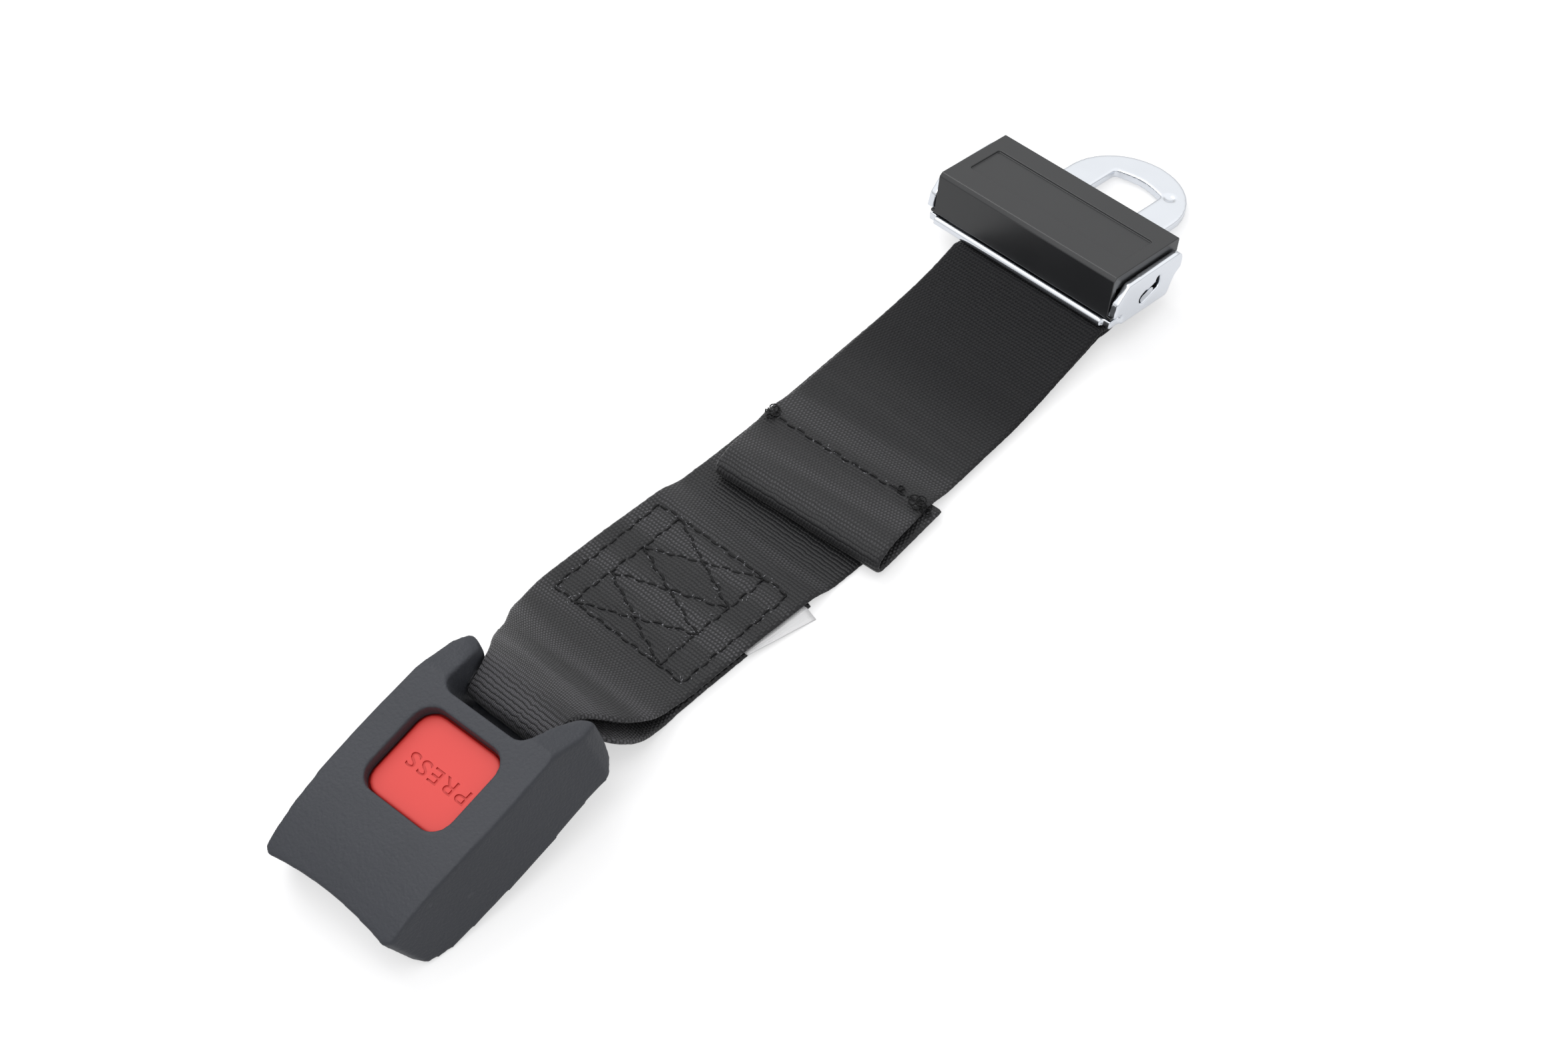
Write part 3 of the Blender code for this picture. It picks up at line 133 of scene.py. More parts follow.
paper_mesh.from_pydata(paper_corners, [], [(0, 1, 2, 3)])
paper_mesh.materials.append(paper)
table = bpy.data.objects.new("table", paper_mesh)
bpy.context.scene.collection.objects.link(table)

# Light: a white room, that the camera sees as plain white and metal sees darker towards the
# horizon, one large soft box high on the far left that draws the shadow under the right-hand
# edges, and one over the buckle.
world = bpy.data.worlds.new("white_room")
world.use_nodes = True
bpy.context.scene.world = world
room_tree = world.node_tree
room_path = add_node(room_tree, "ShaderNodeLightPath")
room_place = add_node(room_tree, "ShaderNodeTexCoord")
room_height = add_node(room_tree, "ShaderNodeSeparateXYZ", {"Vector": room_place.outputs["Generated"]})
room_wall = add_node(room_tree, "ShaderNodeMapRange", {"Value": room_height.outputs["Z"],
        "From Min": 0.05, "From Max": 0.55, "To Min": 0.52, "To Max": 1.08})
room_polish = add_node(room_tree, "ShaderNodeMapRange", {"Value": room_path.outputs["Is Glossy Ray"],
        "To Min": 0.60, "To Max": room_wall.outputs[0]})
room_direct = add_node(room_tree, "ShaderNodeMath", {0: room_path.outputs["Is Camera Ray"],
        1: room_path.outputs["Is Transmission Ray"]}, operation="MAXIMUM")
room_strength = add_node(room_tree, "ShaderNodeMapRange", {"Value": room_direct.outputs[0],
        "To Min": room_polish.outputs[0], "To Max": 1.0})
room_light = room_tree.nodes["Background"]
room_light.inputs["Color"].default_value = linear("#FFFFFF")
room_tree.links.new(room_strength.outputs[0], room_light.inputs["Strength"])


def soft_box(name, place, size, power):
    """A square soft box, in metres and watts, that faces the middle of the table."""
    data = bpy.data.lights.new(name, "AREA")
    data.shape = "SQUARE"
    data.size = size
    data.energy = power
    lamp = bpy.data.objects.new(name, data)
    bpy.context.scene.collection.objects.link(lamp)
    lamp.location = place
    lamp.rotation_euler = Vector(place).to_track_quat("Z", "Y").to_euler()


soft_box("far_left_soft_box", place=(0.15, 0.75, 1.0), size=0.8, power=4.6)
soft_box("buckle_side_soft_box", place=(-0.5, -0.1, 1.15), size=0.9, power=4.2)
bpy.context.scene.view_settings.view_transform = "Standard"

# The buckle's steel: latch, frame and pin, stamped from sheet and zinc plated.
# Zinc plate gives the eye a pale, slightly blue metal with a soft blur in its reflections.


def dress(material, *names):
    """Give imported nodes, whose shapes stay as they are, their finish."""
    for name in names:
        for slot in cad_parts[name].material_slots:
            slot.material = material


zinc_plate, zinc_tree, zinc_output = new_material("zinc_plated_sheet_steel")
zinc_cloud = add_node(zinc_tree, "ShaderNodeTexNoise", {"Scale": 400.0, "Detail": 3.0})
zinc_rough = add_node(zinc_tree, "ShaderNodeMapRange", {"Value": zinc_cloud.outputs["Fac"],
        "To Min": 0.22, "To Max": 0.36})
zinc_metal = add_node(zinc_tree, "ShaderNodeBsdfPrincipled", {"Base Color": linear("#C9CCD0"),
        "Metallic": 1.0, "Roughness": zinc_rough.outputs[0]})
zinc_tree.links.new(zinc_metal.outputs[0], zinc_output.inputs["Surface"])
dress(zinc_plate, "buckle_frame", "latch_pin", "latch_plate")

# The two coil springs: drawn spring steel wire, oiled and dark. The buckle leans back on its
# heel, and its measures are in millimetres.
buckle_place = (-106.85, -7.3, 5.25)
buckle_pitch = 13.6
buckle_yaw = 2.1


def end_frame(place, pitch, yaw):
    """An end's frame in millimetres: x along its own length, nose up by the pitch, turned by the yaw."""
    pitch, yaw = math.radians(pitch), math.radians(yaw)
    ahead = Vector((math.cos(pitch) * math.cos(yaw), math.cos(pitch) * math.sin(yaw), math.sin(pitch)))
    left = Vector((-math.sin(yaw), math.cos(yaw), 0.0))
    up = ahead.cross(left)
    turn = Matrix((ahead, left, up)).transposed().to_4x4()
    return Matrix.Translation(place) @ turn


buckle_end = end_frame(buckle_place, buckle_pitch, buckle_yaw)
spring_wire, wire_tree, wire_output = new_material("drawn_spring_wire")
wire_metal = add_node(wire_tree, "ShaderNodeBsdfPrincipled", {"Base Color": linear("#8E8E90"),
        "Metallic": 1.0, "Roughness": 0.32})
wire_tree.links.new(wire_metal.outputs[0], wire_output.inputs["Surface"])
dress(spring_wire, "latch_spring", "ejector_spring")


def shorten(name):
    """Give a packed spring its own copy of its mesh; its shape stays as it is."""
    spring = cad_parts[name]
    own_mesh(spring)


shorten("ejector_spring")
shorten("latch_spring")

# The ejector: black acetal, moulded, with the waxy sheen that acetal has.
acetal, acetal_tree, acetal_output = new_material("black_acetal")
acetal_body = add_node(acetal_tree, "ShaderNodeBsdfPrincipled", {"Base Color": linear("#1E1E1F"),
        "Roughness": 0.38, "IOR": 1.48})
acetal_tree.links.new(acetal_body.outputs[0], acetal_output.inputs["Surface"])
dress(acetal, "ejector")

# The housing: two ABS mouldings in charcoal, with the mould's fine leather grain, that
# gives a matt surface. Along its edges, a slightly brighter line is a painted highlight.
housing_height = 18.5
housing_half_width = 19.3
mouth_slope_x = -15.3
shoulder_x = 16.7
grain_width = 0.75
housing_abs, abs_tree, abs_output = new_material("grained_charcoal_abs")
abs_place = add_node(abs_tree, "ShaderNodeTexCoord")
abs_pebble = add_node(abs_tree, "ShaderNodeTexVoronoi", {"Vector": abs_place.outputs["Object"],
        "Scale": 1 / (grain_width * MM), "Randomness": 1.0}, feature="SMOOTH_F1")
abs_fine = add_node(abs_tree, "ShaderNodeTexNoise", {"Vector": abs_place.outputs["Object"],
        "Scale": 1.6 / (grain_width * MM), "Detail": 2.0})
abs_height = add_node(abs_tree, "ShaderNodeMath", {0: abs_pebble.outputs["Distance"],
        1: abs_fine.outputs["Fac"]}, operation="ADD")
abs_bump = add_node(abs_tree, "ShaderNodeBump", {"Height": abs_height.outputs[0], "Strength": 0.8,
        "Distance": 0.11 * MM})
abs_tone = add_node(abs_tree, "ShaderNodeTexNoise", {"Vector": abs_place.outputs["Object"],
        "Scale": 60.0, "Detail": 3.0})
# Painted highlight: the sharpest edges are coloured a lighter grey.
abs_form = add_node(abs_tree, "ShaderNodeNewGeometry")
abs_edge_highlight = add_node(abs_tree, "ShaderNodeMapRange", {"Value": abs_form.outputs["Pointiness"],
        "From Min": 0.55, "From Max": 0.62, "To Min": 0.0, "To Max": 0.16})
abs_colour = add_node(abs_tree, "ShaderNodeValToRGB", {"Fac": abs_tone.outputs["Fac"]})
abs_colour.color_ramp.elements[0].color = linear("#393B40")
abs_colour.color_ramp.elements[1].color = linear("#3F4147")
abs_with_edge_highlight = add_node(abs_tree, "ShaderNodeMix", {0: abs_edge_highlight.outputs[0], 6: abs_colour.outputs["Color"],
        7: linear("#6A6C70")}, data_type="RGBA")
abs_body = add_node(abs_tree, "ShaderNodeBsdfPrincipled", {"Base Color": abs_with_edge_highlight.outputs[2],
        "Roughness": 0.5, "Specular IOR Level": 0.3, "Normal": abs_bump.outputs["Normal"]})
abs_tree.links.new(abs_body.outputs[0], abs_output.inputs["Surface"])
dress(housing_abs, "buckle_lower_shell")


def add_piece(name, shell, material, body):
    """A finished piece of the model, made from a bmesh in the model's frame."""
    mesh = bpy.data.meshes.new(name)
    shell.to_mesh(mesh)
    shell.free()
    mesh.shade_smooth()
    mesh.materials.clear()
    mesh.materials.append(material)
    made = bpy.data.objects.new(name, mesh)
    bpy.context.scene.collection.objects.link(made)
    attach(made, body)
    return made


def to_model(end):
    """The matrix from an end's own millimetres to the model's metres."""
    return Matrix.Scale(MM, 4) @ Matrix.Translation(belt_origin) @ end


def node_shell(node, end):
    """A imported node's mesh as a bmesh, in the millimetres of the end it belongs to."""
    shell = bmesh.new()
    shell.from_mesh(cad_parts[node].data)
    bmesh.ops.remove_doubles(shell, verts=shell.verts, dist=0.002 * MM)
    shell.transform(to_model(end).inverted())
    bmesh.ops.dissolve_degenerate(shell, edges=shell.edges, dist=0.01)
    bmesh.ops.dissolve_limit(shell, angle_limit=math.radians(0.4), verts=shell.verts, edges=shell.edges)
    bmesh.ops.triangulate(shell, faces=shell.faces)
    return shell


def softened(shell, voxel, rounds):
    """The shell again in an even mesh, with the rounded edges that tools and moulds leave."""
    draft = bpy.data.meshes.new("draft")
    shell.to_mesh(draft)
    shell.free()
    holder = bpy.data.objects.new("draft", draft)
    bpy.context.scene.collection.objects.link(holder)
    remesh = holder.modifiers.new("even_mesh", "REMESH")
    remesh.mode = "VOXEL"
    remesh.voxel_size = voxel
    relax = holder.modifiers.new("round_edges", "SMOOTH")
    relax.factor = 0.5
    relax.iterations = rounds
    bpy.context.view_layer.update()
    made = bmesh.new()
    made.from_mesh(holder.evaluated_get(bpy.context.evaluated_depsgraph_get()).to_mesh())
    bpy.data.objects.remove(holder, do_unlink=True)
    return made


# The upper shell's mould draws its sides out a little more towards the bottom, most of all at
# the horns, whose inner corners are cut back in a curve, and runs its top into the slope of the
# mouth without a crease. Its sides bow in towards both ends, and lean out towards the bottom.
side_bow = 0.71
side_bow_reach = 20
side_lean = 2.3
skin_depth = 1.5
horn_length = 11.7
horn_outer_y = 18.0
slope_ease = 7.0
slope_change = 0.11
side_flare = 0.9
horn_flare = 1.0
horn_reach = 0.8
horn_corner_x = 22.4
horn_corner_length = 6.0
horn_corner_cut = 4.0
right_horn_drop = 0.8


def limited(value):
    """The value, held between 0 and 1."""
    return min(1.0, max(0.0, value))


housing_shell = softened(node_shell("buckle_upper_shell", buckle_end), voxel=0.42, rounds=4)
for vertex in housing_shell.verts:
    x, y, z = vertex.co
    low = 1 - z / housing_height
    horn_share = limited((x - shoulder_x) / horn_length)
    wall = housing_half_width - side_bow * (x / side_bow_reach) ** 2 + side_lean * low - abs(y)
    outer = limited(1 - wall / skin_depth)
    y += math.copysign(outer * low * (side_flare + horn_flare * horn_share), y)
    near = max(0.0, slope_ease - abs(x - mouth_slope_x)) if z > housing_height / 2 else 0.0
    z -= slope_change * near ** 2 / (4 * slope_ease)
    tip_share = max(0.0, (x - horn_corner_x) / horn_corner_length)
    inner_share = limited((horn_outer_y - abs(y)) / horn_corner_length)
    x += horn_reach * horn_share ** 2 - horn_corner_cut * tip_share * inner_share ** 2
    if y < 0:
        z -= right_horn_drop * horn_share * z / housing_height
    vertex.co = Vector((x, y, z))
for _ in range(2):
    bmesh.ops.smooth_vert(housing_shell, verts=housing_shell.verts, factor=0.5, use_axis_x=True,
                          use_axis_y=True, use_axis_z=True)
housing_shell.transform(to_model(buckle_end))
housing = add_piece("housing_moulding", housing_shell, housing_abs, "belt")
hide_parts("buckle_upper_shell")

# The button: red ABS, moulded in a polished tool. Painted shade makes it a deeper red at its
# edges and in its letters, where other surfaces lie close. The word on it says what to do with
# it, in plain letters sunk by about a quarter of a millimetre.
button_sink = 2.7
button_top_z = housing_height - button_sink
letters_place = (-0.3, -1.2, 0.0)
letters_length = 16.6
letters_height = 3.5
letters_depth = 0.28
red_abs, red_tree, red_output = new_material("red_abs")
red_place = add_node(red_tree, "ShaderNodeTexCoord")
red_grain = add_node(red_tree, "ShaderNodeTexNoise", {"Vector": red_place.outputs["Object"],
        "Scale": 1 / (0.35 * MM), "Detail": 2.0})
red_bump = add_node(red_tree, "ShaderNodeBump", {"Height": red_grain.outputs["Fac"], "Strength": 0.15,
        "Distance": 0.03 * MM})
# Painted shade: a deeper red wherever other surfaces lie within 1.6 mm.
red_painted_shade = add_node(red_tree, "ShaderNodeAmbientOcclusion", {"Distance": 1.6 * MM})
red_shaded_colour = add_node(red_tree, "ShaderNodeMix", {0: red_painted_shade.outputs["AO"], 6: linear("#B01A18"),
        7: linear("#E64B46")}, data_type="RGBA")
red_body = add_node(red_tree, "ShaderNodeBsdfPrincipled", {"Base Color": red_shaded_colour.outputs[2],
        "Roughness": 0.42, "Specular IOR Level": 0.35, "Normal": red_bump.outputs["Normal"]})
red_tree.links.new(red_body.outputs[0], red_output.inputs["Surface"])


def object_from(name, shell):
    mesh = bpy.data.meshes.new(name)
    shell.to_mesh(mesh)
    shell.free()
    made = bpy.data.objects.new(name, mesh)
    bpy.context.scene.collection.objects.link(made)
    return made


def letters_cutter(word, length, height, place_z, depth):
    """The word as one solid in millimetres, read along +y with its tops towards -x."""
    text = bpy.data.curves.new("letters", "FONT")
    text.body = word
    text.align_x = "CENTER"
    text.align_y = "CENTER"
    text.space_character = 1.12
    text.offset = 0.004
    text.extrude = 0.2
    text.resolution_u = 4
    holder = bpy.data.objects.new("letters", text)
    bpy.context.scene.collection.objects.link(holder)
    bpy.context.view_layer.update()
    shell = bmesh.new()
    shell.from_mesh(holder.evaluated_get(bpy.context.evaluated_depsgraph_get()).to_mesh())
    bpy.data.objects.remove(holder, do_unlink=True)
    low = Vector([min(v.co[i] for v in shell.verts) for i in range(3)])
    high = Vector([max(v.co[i] for v in shell.verts) for i in range(3)])
    span = high - low
    cutter_height = depth * 4
    for vertex in shell.verts:
        share = vertex.co - (low + high) / 2
        across = share.x / span.x * length
        up = share.y / span.y * height
        vertex.co = Vector((-up, across, place_z - depth + (share.z / span.z + 0.5) * cutter_height))
    bmesh.ops.remove_doubles(shell, verts=shell.verts, dist=0.001)
    bmesh.ops.recalc_face_normals(shell, faces=shell.faces)
    return object_from("letters_cutter", shell)


button_blank = softened(node_shell("press_button", buckle_end), voxel=0.3, rounds=3)
button_holder = object_from("button_blank", button_blank)
letters = letters_cutter("PRESS", letters_length, letters_height, button_top_z, letters_depth)
letters.location = letters_place
sink = button_holder.modifiers.new("letters", "BOOLEAN")
sink.operation = "DIFFERENCE"
sink.object = letters
bpy.context.view_layer.update()
button_shell = bmesh.new()
button_shell.from_mesh(button_holder.evaluated_get(bpy.context.evaluated_depsgraph_get()).to_mesh())
bpy.data.objects.remove(button_holder, do_unlink=True)
bpy.data.objects.remove(letters, do_unlink=True)
button_shell.transform(to_model(buckle_end))
button = add_piece("red_button_cap", button_shell, red_abs, "button")
button.data.set_sharp_from_angle(angle=math.radians(40))
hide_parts("press_button")

# The adjuster's cover: black ABS with an eggshell polish, over the chromed steel. It is held up
# at the back by the layers of webbing under it. Its flat top has a bare, sunken panel.
adjuster_place = (106.0, 9.6, 8.594)
adjuster_pitch = -7.2
adjuster_yaw = -0.5
adjuster_end = end_frame(adjuster_place, adjuster_pitch, adjuster_yaw)
cover_abs, cover_tree, cover_output = new_material("satin_black_abs")
cover_place = add_node(cover_tree, "ShaderNodeTexCoord")
cover_haze = add_node(cover_tree, "ShaderNodeTexNoise", {"Vector": cover_place.outputs["Object"],
        "Scale": 90.0, "Detail": 4.0})
cover_rough = add_node(cover_tree, "ShaderNodeMapRange", {"Value": cover_haze.outputs["Fac"],
        "To Min": 0.26, "To Max": 0.40})
cover_grain = add_node(cover_tree, "ShaderNodeTexNoise", {"Vector": cover_place.outputs["Object"],
        "Scale": 1 / (0.3 * MM), "Detail": 2.0})
cover_bump = add_node(cover_tree, "ShaderNodeBump", {"Height": cover_grain.outputs["Fac"], "Strength": 0.12,
        "Distance": 0.02 * MM})
cover_body = add_node(cover_tree, "ShaderNodeBsdfPrincipled", {"Base Color": linear("#242527"),
        "Roughness": cover_rough.outputs[0], "Specular IOR Level": 0.62,
        "Normal": cover_bump.outputs["Normal"]})
cover_tree.links.new(cover_body.outputs[0], cover_output.inputs["Surface"])
cover_edge_radius = 0.22
cover_shell = node_shell("adjuster_cover", adjuster_end)
bmesh.ops.dissolve_limit(cover_shell, angle_limit=math.radians(1), verts=cover_shell.verts,
                         edges=cover_shell.edges)
cover_edges = [e for e in cover_shell.edges if e.is_manifold and e.calc_face_angle() > math.radians(30)]
bmesh.ops.bevel(cover_shell, geom=cover_edges, offset=cover_edge_radius, segments=3, profile=0.5,
                affect="EDGES")
cover_shell.transform(to_model(adjuster_end))
cover = add_piece("cover_moulding", cover_shell, cover_abs, "belt")
cover_normals = cover.modifiers.new("flat_faces_stay_flat", "WEIGHTED_NORMAL")
cover_normals.keep_sharp = False
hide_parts("adjuster_cover")

# The tongue with its ears, and the slide bar: steel, stamped, polished and chromed. The press
# leaves rounded edges and one small dimple beside the hole. The plating mirrors the room, and
# a painted dark reflection makes its edges darker.
plate_middle_z = -1.2
dimple_x = 38.4
dimple_y = -7.2
dimple_radius = 1.35
dimple_depth = 0.45
chrome, chrome_tree, chrome_output = new_material("bright_chrome")
chrome_place = add_node(chrome_tree, "ShaderNodeTexCoord")
chrome_wave = add_node(chrome_tree, "ShaderNodeTexNoise", {"Vector": chrome_place.outputs["Object"],
        "Scale": 1 / (9 * MM), "Detail": 1.0})
chrome_bump = add_node(chrome_tree, "ShaderNodeBump", {"Height": chrome_wave.outputs["Fac"],
        "Strength": 0.25, "Distance": 0.25 * MM})
# Painted dark reflection: the sharpest edges are coloured a darker grey.
chrome_form = add_node(chrome_tree, "ShaderNodeNewGeometry")
chrome_edge_dark_reflection = add_node(chrome_tree, "ShaderNodeMapRange", {"Value": chrome_form.outputs["Pointiness"],
        "From Min": 0.54, "From Max": 0.62, "To Min": 0.0, "To Max": 0.75})
chrome_colour_with_dark_edges = add_node(chrome_tree, "ShaderNodeMix", {0: chrome_edge_dark_reflection.outputs[0], 6: linear("#E9EDF3"),
        7: linear("#6E757D")}, data_type="RGBA")
chrome_body = add_node(chrome_tree, "ShaderNodeBsdfPrincipled", {"Base Color": chrome_colour_with_dark_edges.outputs[2],
        "Metallic": 1.0, "Roughness": 0.14, "Normal": chrome_bump.outputs["Normal"]})
chrome_tree.links.new(chrome_body.outputs[0], chrome_output.inputs["Surface"])
dress(chrome, "slide_bar")
tongue_shell = softened(node_shell("tongue_frame", adjuster_end), voxel=0.32, rounds=3)
for vertex in tongue_shell.verts:
    x, y, z = vertex.co
    away = math.hypot(x - dimple_x, y - dimple_y) / dimple_radius
    if z > plate_middle_z:
        vertex.co.z -= dimple_depth * math.exp(-away ** 4)
tongue_shell.transform(to_model(adjuster_end))
tongue = add_piece("tongue_plate", tongue_shell, chrome, "belt")
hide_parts("tongue_frame")

# The strap: seat belt webbing of black polyester, woven 47.5 mm wide. It starts under the box
# stitch, turns round the buckle's anchor bar, comes back over itself, turns round the slide bar
# and ends in a folded and sewn tab. It is one sheet, swept along that route.
web_width = 47.5
web_thickness = 1.2
passage_half_width = 22.9
slack = 0.3
layer_pitch = web_thickness + slack
floor_z = web_thickness / 2
sewn_z = floor_z + layer_pitch + 0.6
upper_z = floor_z + layer_pitch
tail_end_x = -14.3
stitch_end_x = -50.0
tab_fold_x = 0.5
tab_seam_x = 21.5
tab_side_shift = -3.3
tab_skew = 0.055
tab_fold_radius = 1.9
lift_start_x = 52.0
bar_middle_x = 22.5
bar_middle_z = 7.5
slide_x = -0.5
slide_z = 2.4
crossbar_x = -13.9
horn_end = 28.4
horn_tip_x = buckle_place[0] + horn_end * math.cos(math.radians(buckle_pitch))
ear_inner_y = 27.7
ear_reach = 13.0
enter_x = adjuster_place[0] - ear_reach


def seen_from_side(end, x, z):
    """A point of one end of the belt, in the side view of the route."""
    spot = end @ Vector((x, 0.0, z))
    return Vector((spot.x, spot.z))


def bezier(start, control_a, control_b, end, steps):
    """A curve between two points with two controls, without its first point."""
    points = []
    for i in range(1, steps + 1):
        t = i / steps
        s = 1 - t
        points.append(start * s ** 3 + control_a * 3 * s ** 2 * t + control_b * 3 * s * t ** 2
                      + end * t ** 3)
    return points


def smooth_run(points, steps):
    """A smooth curve through given points (Catmull-Rom), without its first point."""
    run = []
    padded = [points[0] * 2 - points[1]] + points + [points[-1] * 2 - points[-2]]
    for i in range(1, len(padded) - 2):
        a, b, c, d = padded[i - 1:i + 3]
        for j in range(1, steps + 1):
            t = j / steps
            run.append(0.5 * (b * 2 + (c - a) * t + (a * 2 - b * 5 + c * 4 - d) * t * t
                              + (b * 3 - a - c * 3 + d) * t ** 3))
    return run


def strap_route():
    """The strap's middle line in side view, from the cut tail to the folded tab's hem."""
    route = [Vector((tail_end_x, floor_z))]
    for i in range(1, 7):
        route.append(Vector((tail_end_x + (stitch_end_x - 4 - tail_end_x) * i / 6, floor_z)))
    wrap_z = 1.0 + slack + floor_z + 0.8
    wrap_x = 1.5 + slack + floor_z + 0.9
    below = seen_from_side(buckle_end, bar_middle_x + 0.6, bar_middle_z - wrap_z)
    route += bezier(route[-1], route[-1] + Vector((-16, 0)), below + Vector((9, 1.2)), below, 12)
    for i in range(1, 8):
        turn = math.radians(-90 - 180 * i / 8)
        route.append(seen_from_side(buckle_end, bar_middle_x + wrap_x * math.cos(turn),
                                    bar_middle_z + wrap_z * math.sin(turn)))
    above = seen_from_side(buckle_end, bar_middle_x + 1.0, bar_middle_z + wrap_z + 0.3)
    route.append(above)
    sewn = Vector((stitch_end_x, sewn_z))
    route += bezier(above, above + Vector((9, 5.0)), sewn + Vector((-17, 0)), sewn, 14)
    sewn_end = Vector((tail_end_x - 1, sewn_z))
    for i in range(1, 6):
        route.append(sewn + (sewn_end - sewn) * i / 5)
    step = Vector((4, 0))
    floor_start = Vector((tail_end_x + 9, floor_z))
    route += bezier(sewn_end, sewn_end + step, floor_start - step, floor_start, 5)
    lift = Vector((lift_start_x, floor_z))
    for i in range(1, 9):
        route.append(floor_start + (lift - floor_start) * i / 8)
    under_bar = -2.7 - slack - floor_z
    bar_low = slide_z - 3.0
    loop = [(crossbar_x - 0.5, under_bar - layer_pitch),
            (crossbar_x + 4.2, under_bar - layer_pitch + 0.35),
            (crossbar_x + 8.6, bar_low - 1.9), (slide_x + 0.5, bar_low - 0.5),
            (slide_x + 5.0, bar_low + 0.9), (slide_x + 7.3, slide_z + 1.2),
            (slide_x + 5.2, slide_z + 4.2), (slide_x, slide_z + 4.1),
            (slide_x - 4.4, slide_z + 1.6), (slide_x - 6.4, slide_z - 2.4),
            (crossbar_x + 4.3, under_bar - 0.1), (crossbar_x - 0.5, under_bar)]
    loop = [seen_from_side(adjuster_end, x, z) for x, z in loop]
    route += bezier(lift, lift + Vector((13, 0)), loop[0] - Vector((9, 2.7)), loop[0], 9)
    route += smooth_run(loop, 4)
    settle = Vector((lift_start_x, upper_z))
    leave = route[-1]
    route += bezier(leave, leave - Vector((9, 2.6)), settle + Vector((13, 0)), settle, 9)
    hem_end = Vector((tab_seam_x + 3.5, upper_z))
    rise_start = Vector((hem_end.x + 8, upper_z))
    for i in range(1, 4):
        route.append(settle + (rise_start - settle) * i / 3)
    seam = Vector((tab_seam_x + 0.5, upper_z + layer_pitch))
    route += bezier(rise_start, rise_start - step, seam + step * 0.8, seam, 5)
    crown = Vector((tab_fold_x + 4.6, upper_z + 2 * tab_fold_radius + 0.4))
    route += bezier(seam, seam - step * 1.6, crown + step * 1.2, crown, 6)
    fold = Vector((tab_fold_x + tab_fold_radius, upper_z + tab_fold_radius))
    for i in range(1, 8):
        turn = math.radians(90 + 180 * i / 8)
        route.append(fold + Vector((math.cos(turn), math.sin(turn))) * tab_fold_radius)
    flat_start = Vector((fold.x + 1.5, upper_z))
    for i in range(5):
        route.append(flat_start + (hem_end - flat_start) * i / 4)
    return route


def between(stations, x):
    """The value at x on straight runs between (x, value) stations."""
    if x <= stations[0][0]:
        return stations[0][1]
    for (x0, value0), (x1, value1) in zip(stations, stations[1:]):
        if x <= x1:
            return value0 + (value1 - value0) * (x - x0) / (x1 - x0)
    return stations[-1][1]


def strap_middle_y(x, layer):
    """The sideways place of the middle of the strap's lower, upper or folded-under layer."""
    at_end = adjuster_place[1] - ear_inner_y + passage_half_width + 0.65
    tab_y = 1.1
    lower_y = 2.2
    if layer == "upper":
        if x > tab_seam_x:
            return at_end + (at_end - tab_y) / (enter_x - tab_seam_x) * min(0.0, x - enter_x)
        return tab_y + (tab_side_shift - tab_y) * (tab_seam_x - x) / (tab_seam_x - tab_fold_x)
    if layer == "under":
        return tab_side_shift + 0.085 * (x - tab_fold_x)
    if x > 0:
        share = min(1.0, x / enter_x)
        return lower_y + (at_end - lower_y) * share * share * (3 - 2 * share)
    bar_y = buckle_place[1] + bar_middle_x * math.sin(math.radians(buckle_yaw))
    return between([(horn_tip_x - 6.0, bar_y), (horn_tip_x - 2.2, -5.2), (horn_tip_x + 3.2, -3.0),
                    (horn_tip_x + 9.2, -2.4), (horn_tip_x + 17.0, 0.5), (horn_tip_x + 24.0, 2.5),
                    (stitch_end_x, 2.9), (stitch_end_x + 18, 2.8), (tail_end_x, 2.3)], x)


def strap_half_width(x, tail):
    """Half the strap's width: gathered between the horns, and a little cramped by the ears."""
    gathered = [(horn_tip_x - 9.0, 11.7), (horn_tip_x - 2.2, 13.2), (horn_tip_x + 1.5, 15.2)]
    if tail:
        return between(gathered + [(horn_tip_x + 4.0, 18.2), (horn_tip_x + 10.0, 19.9),
                                   (horn_tip_x + 20.0, 22.1), (stitch_end_x - 1.0, web_width / 2)], x)
    return between(gathered + [(horn_tip_x + 7.0, 18.2), (horn_tip_x + 16.0, web_width / 2 - 1.5),
                               (stitch_end_x - 1.0, web_width / 2), (lift_start_x + 4.0, web_width / 2),
                               (enter_x - 6.0, passage_half_width)], x)


def settled(values, rounds):
    """The values with their kinks eased out, each one pulled towards the mean of its neighbours."""
    for _ in range(rounds):
        inner = [0.25 * a + 0.5 * b + 0.25 * c for a, b, c in zip(values, values[1:], values[2:])]
        values = [values[0]] + inner + [values[-1]]
    return values


def even_steps(route, spacing):
    """The route again, with its points at even steps along its length."""
    fine = [route[0]] + smooth_run(route, 6)
    steps, travelled, due = [fine[0]], 0.0, spacing
    for a, b in zip(fine, fine[1:]):
        length = (b - a).length
        while length > 0 and travelled + length >= due:
            steps.append(a + (b - a) * ((due - travelled) / length))
            due += spacing
        travelled += length
    return steps


ring_spacing = 0.8
columns = 44
tail_shift = [(horn_tip_x - 8.0, 0.0), (horn_tip_x + 3.0, 1.6), (horn_tip_x + 12.0, 1.4),
              (stitch_end_x, 0.0)]
middle_line = even_steps(strap_route(), ring_spacing)
turn_index = max(range(len(middle_line)), key=lambda i: middle_line[i].x)
buckle_turn = min(range(len(middle_line)), key=lambda i: middle_line[i].x)
fold_index = min(range(turn_index, len(middle_line)), key=lambda i: middle_line[i].x)
line_y, line_half = [], []
for i, point in enumerate(middle_line):
    layer = "lower" if i <= turn_index else "upper" if i <= fold_index else "under"
    line_y.append(strap_middle_y(point.x, layer))
    line_half.append(strap_half_width(point.x, i < buckle_turn))
    if i < buckle_turn:
        line_y[-1] -= between(tail_shift, point.x)
line_y = settled(line_y, 8)
line_half = settled(line_half, 8)
bar_x = seen_from_side(buckle_end, bar_middle_x, 6.5).x

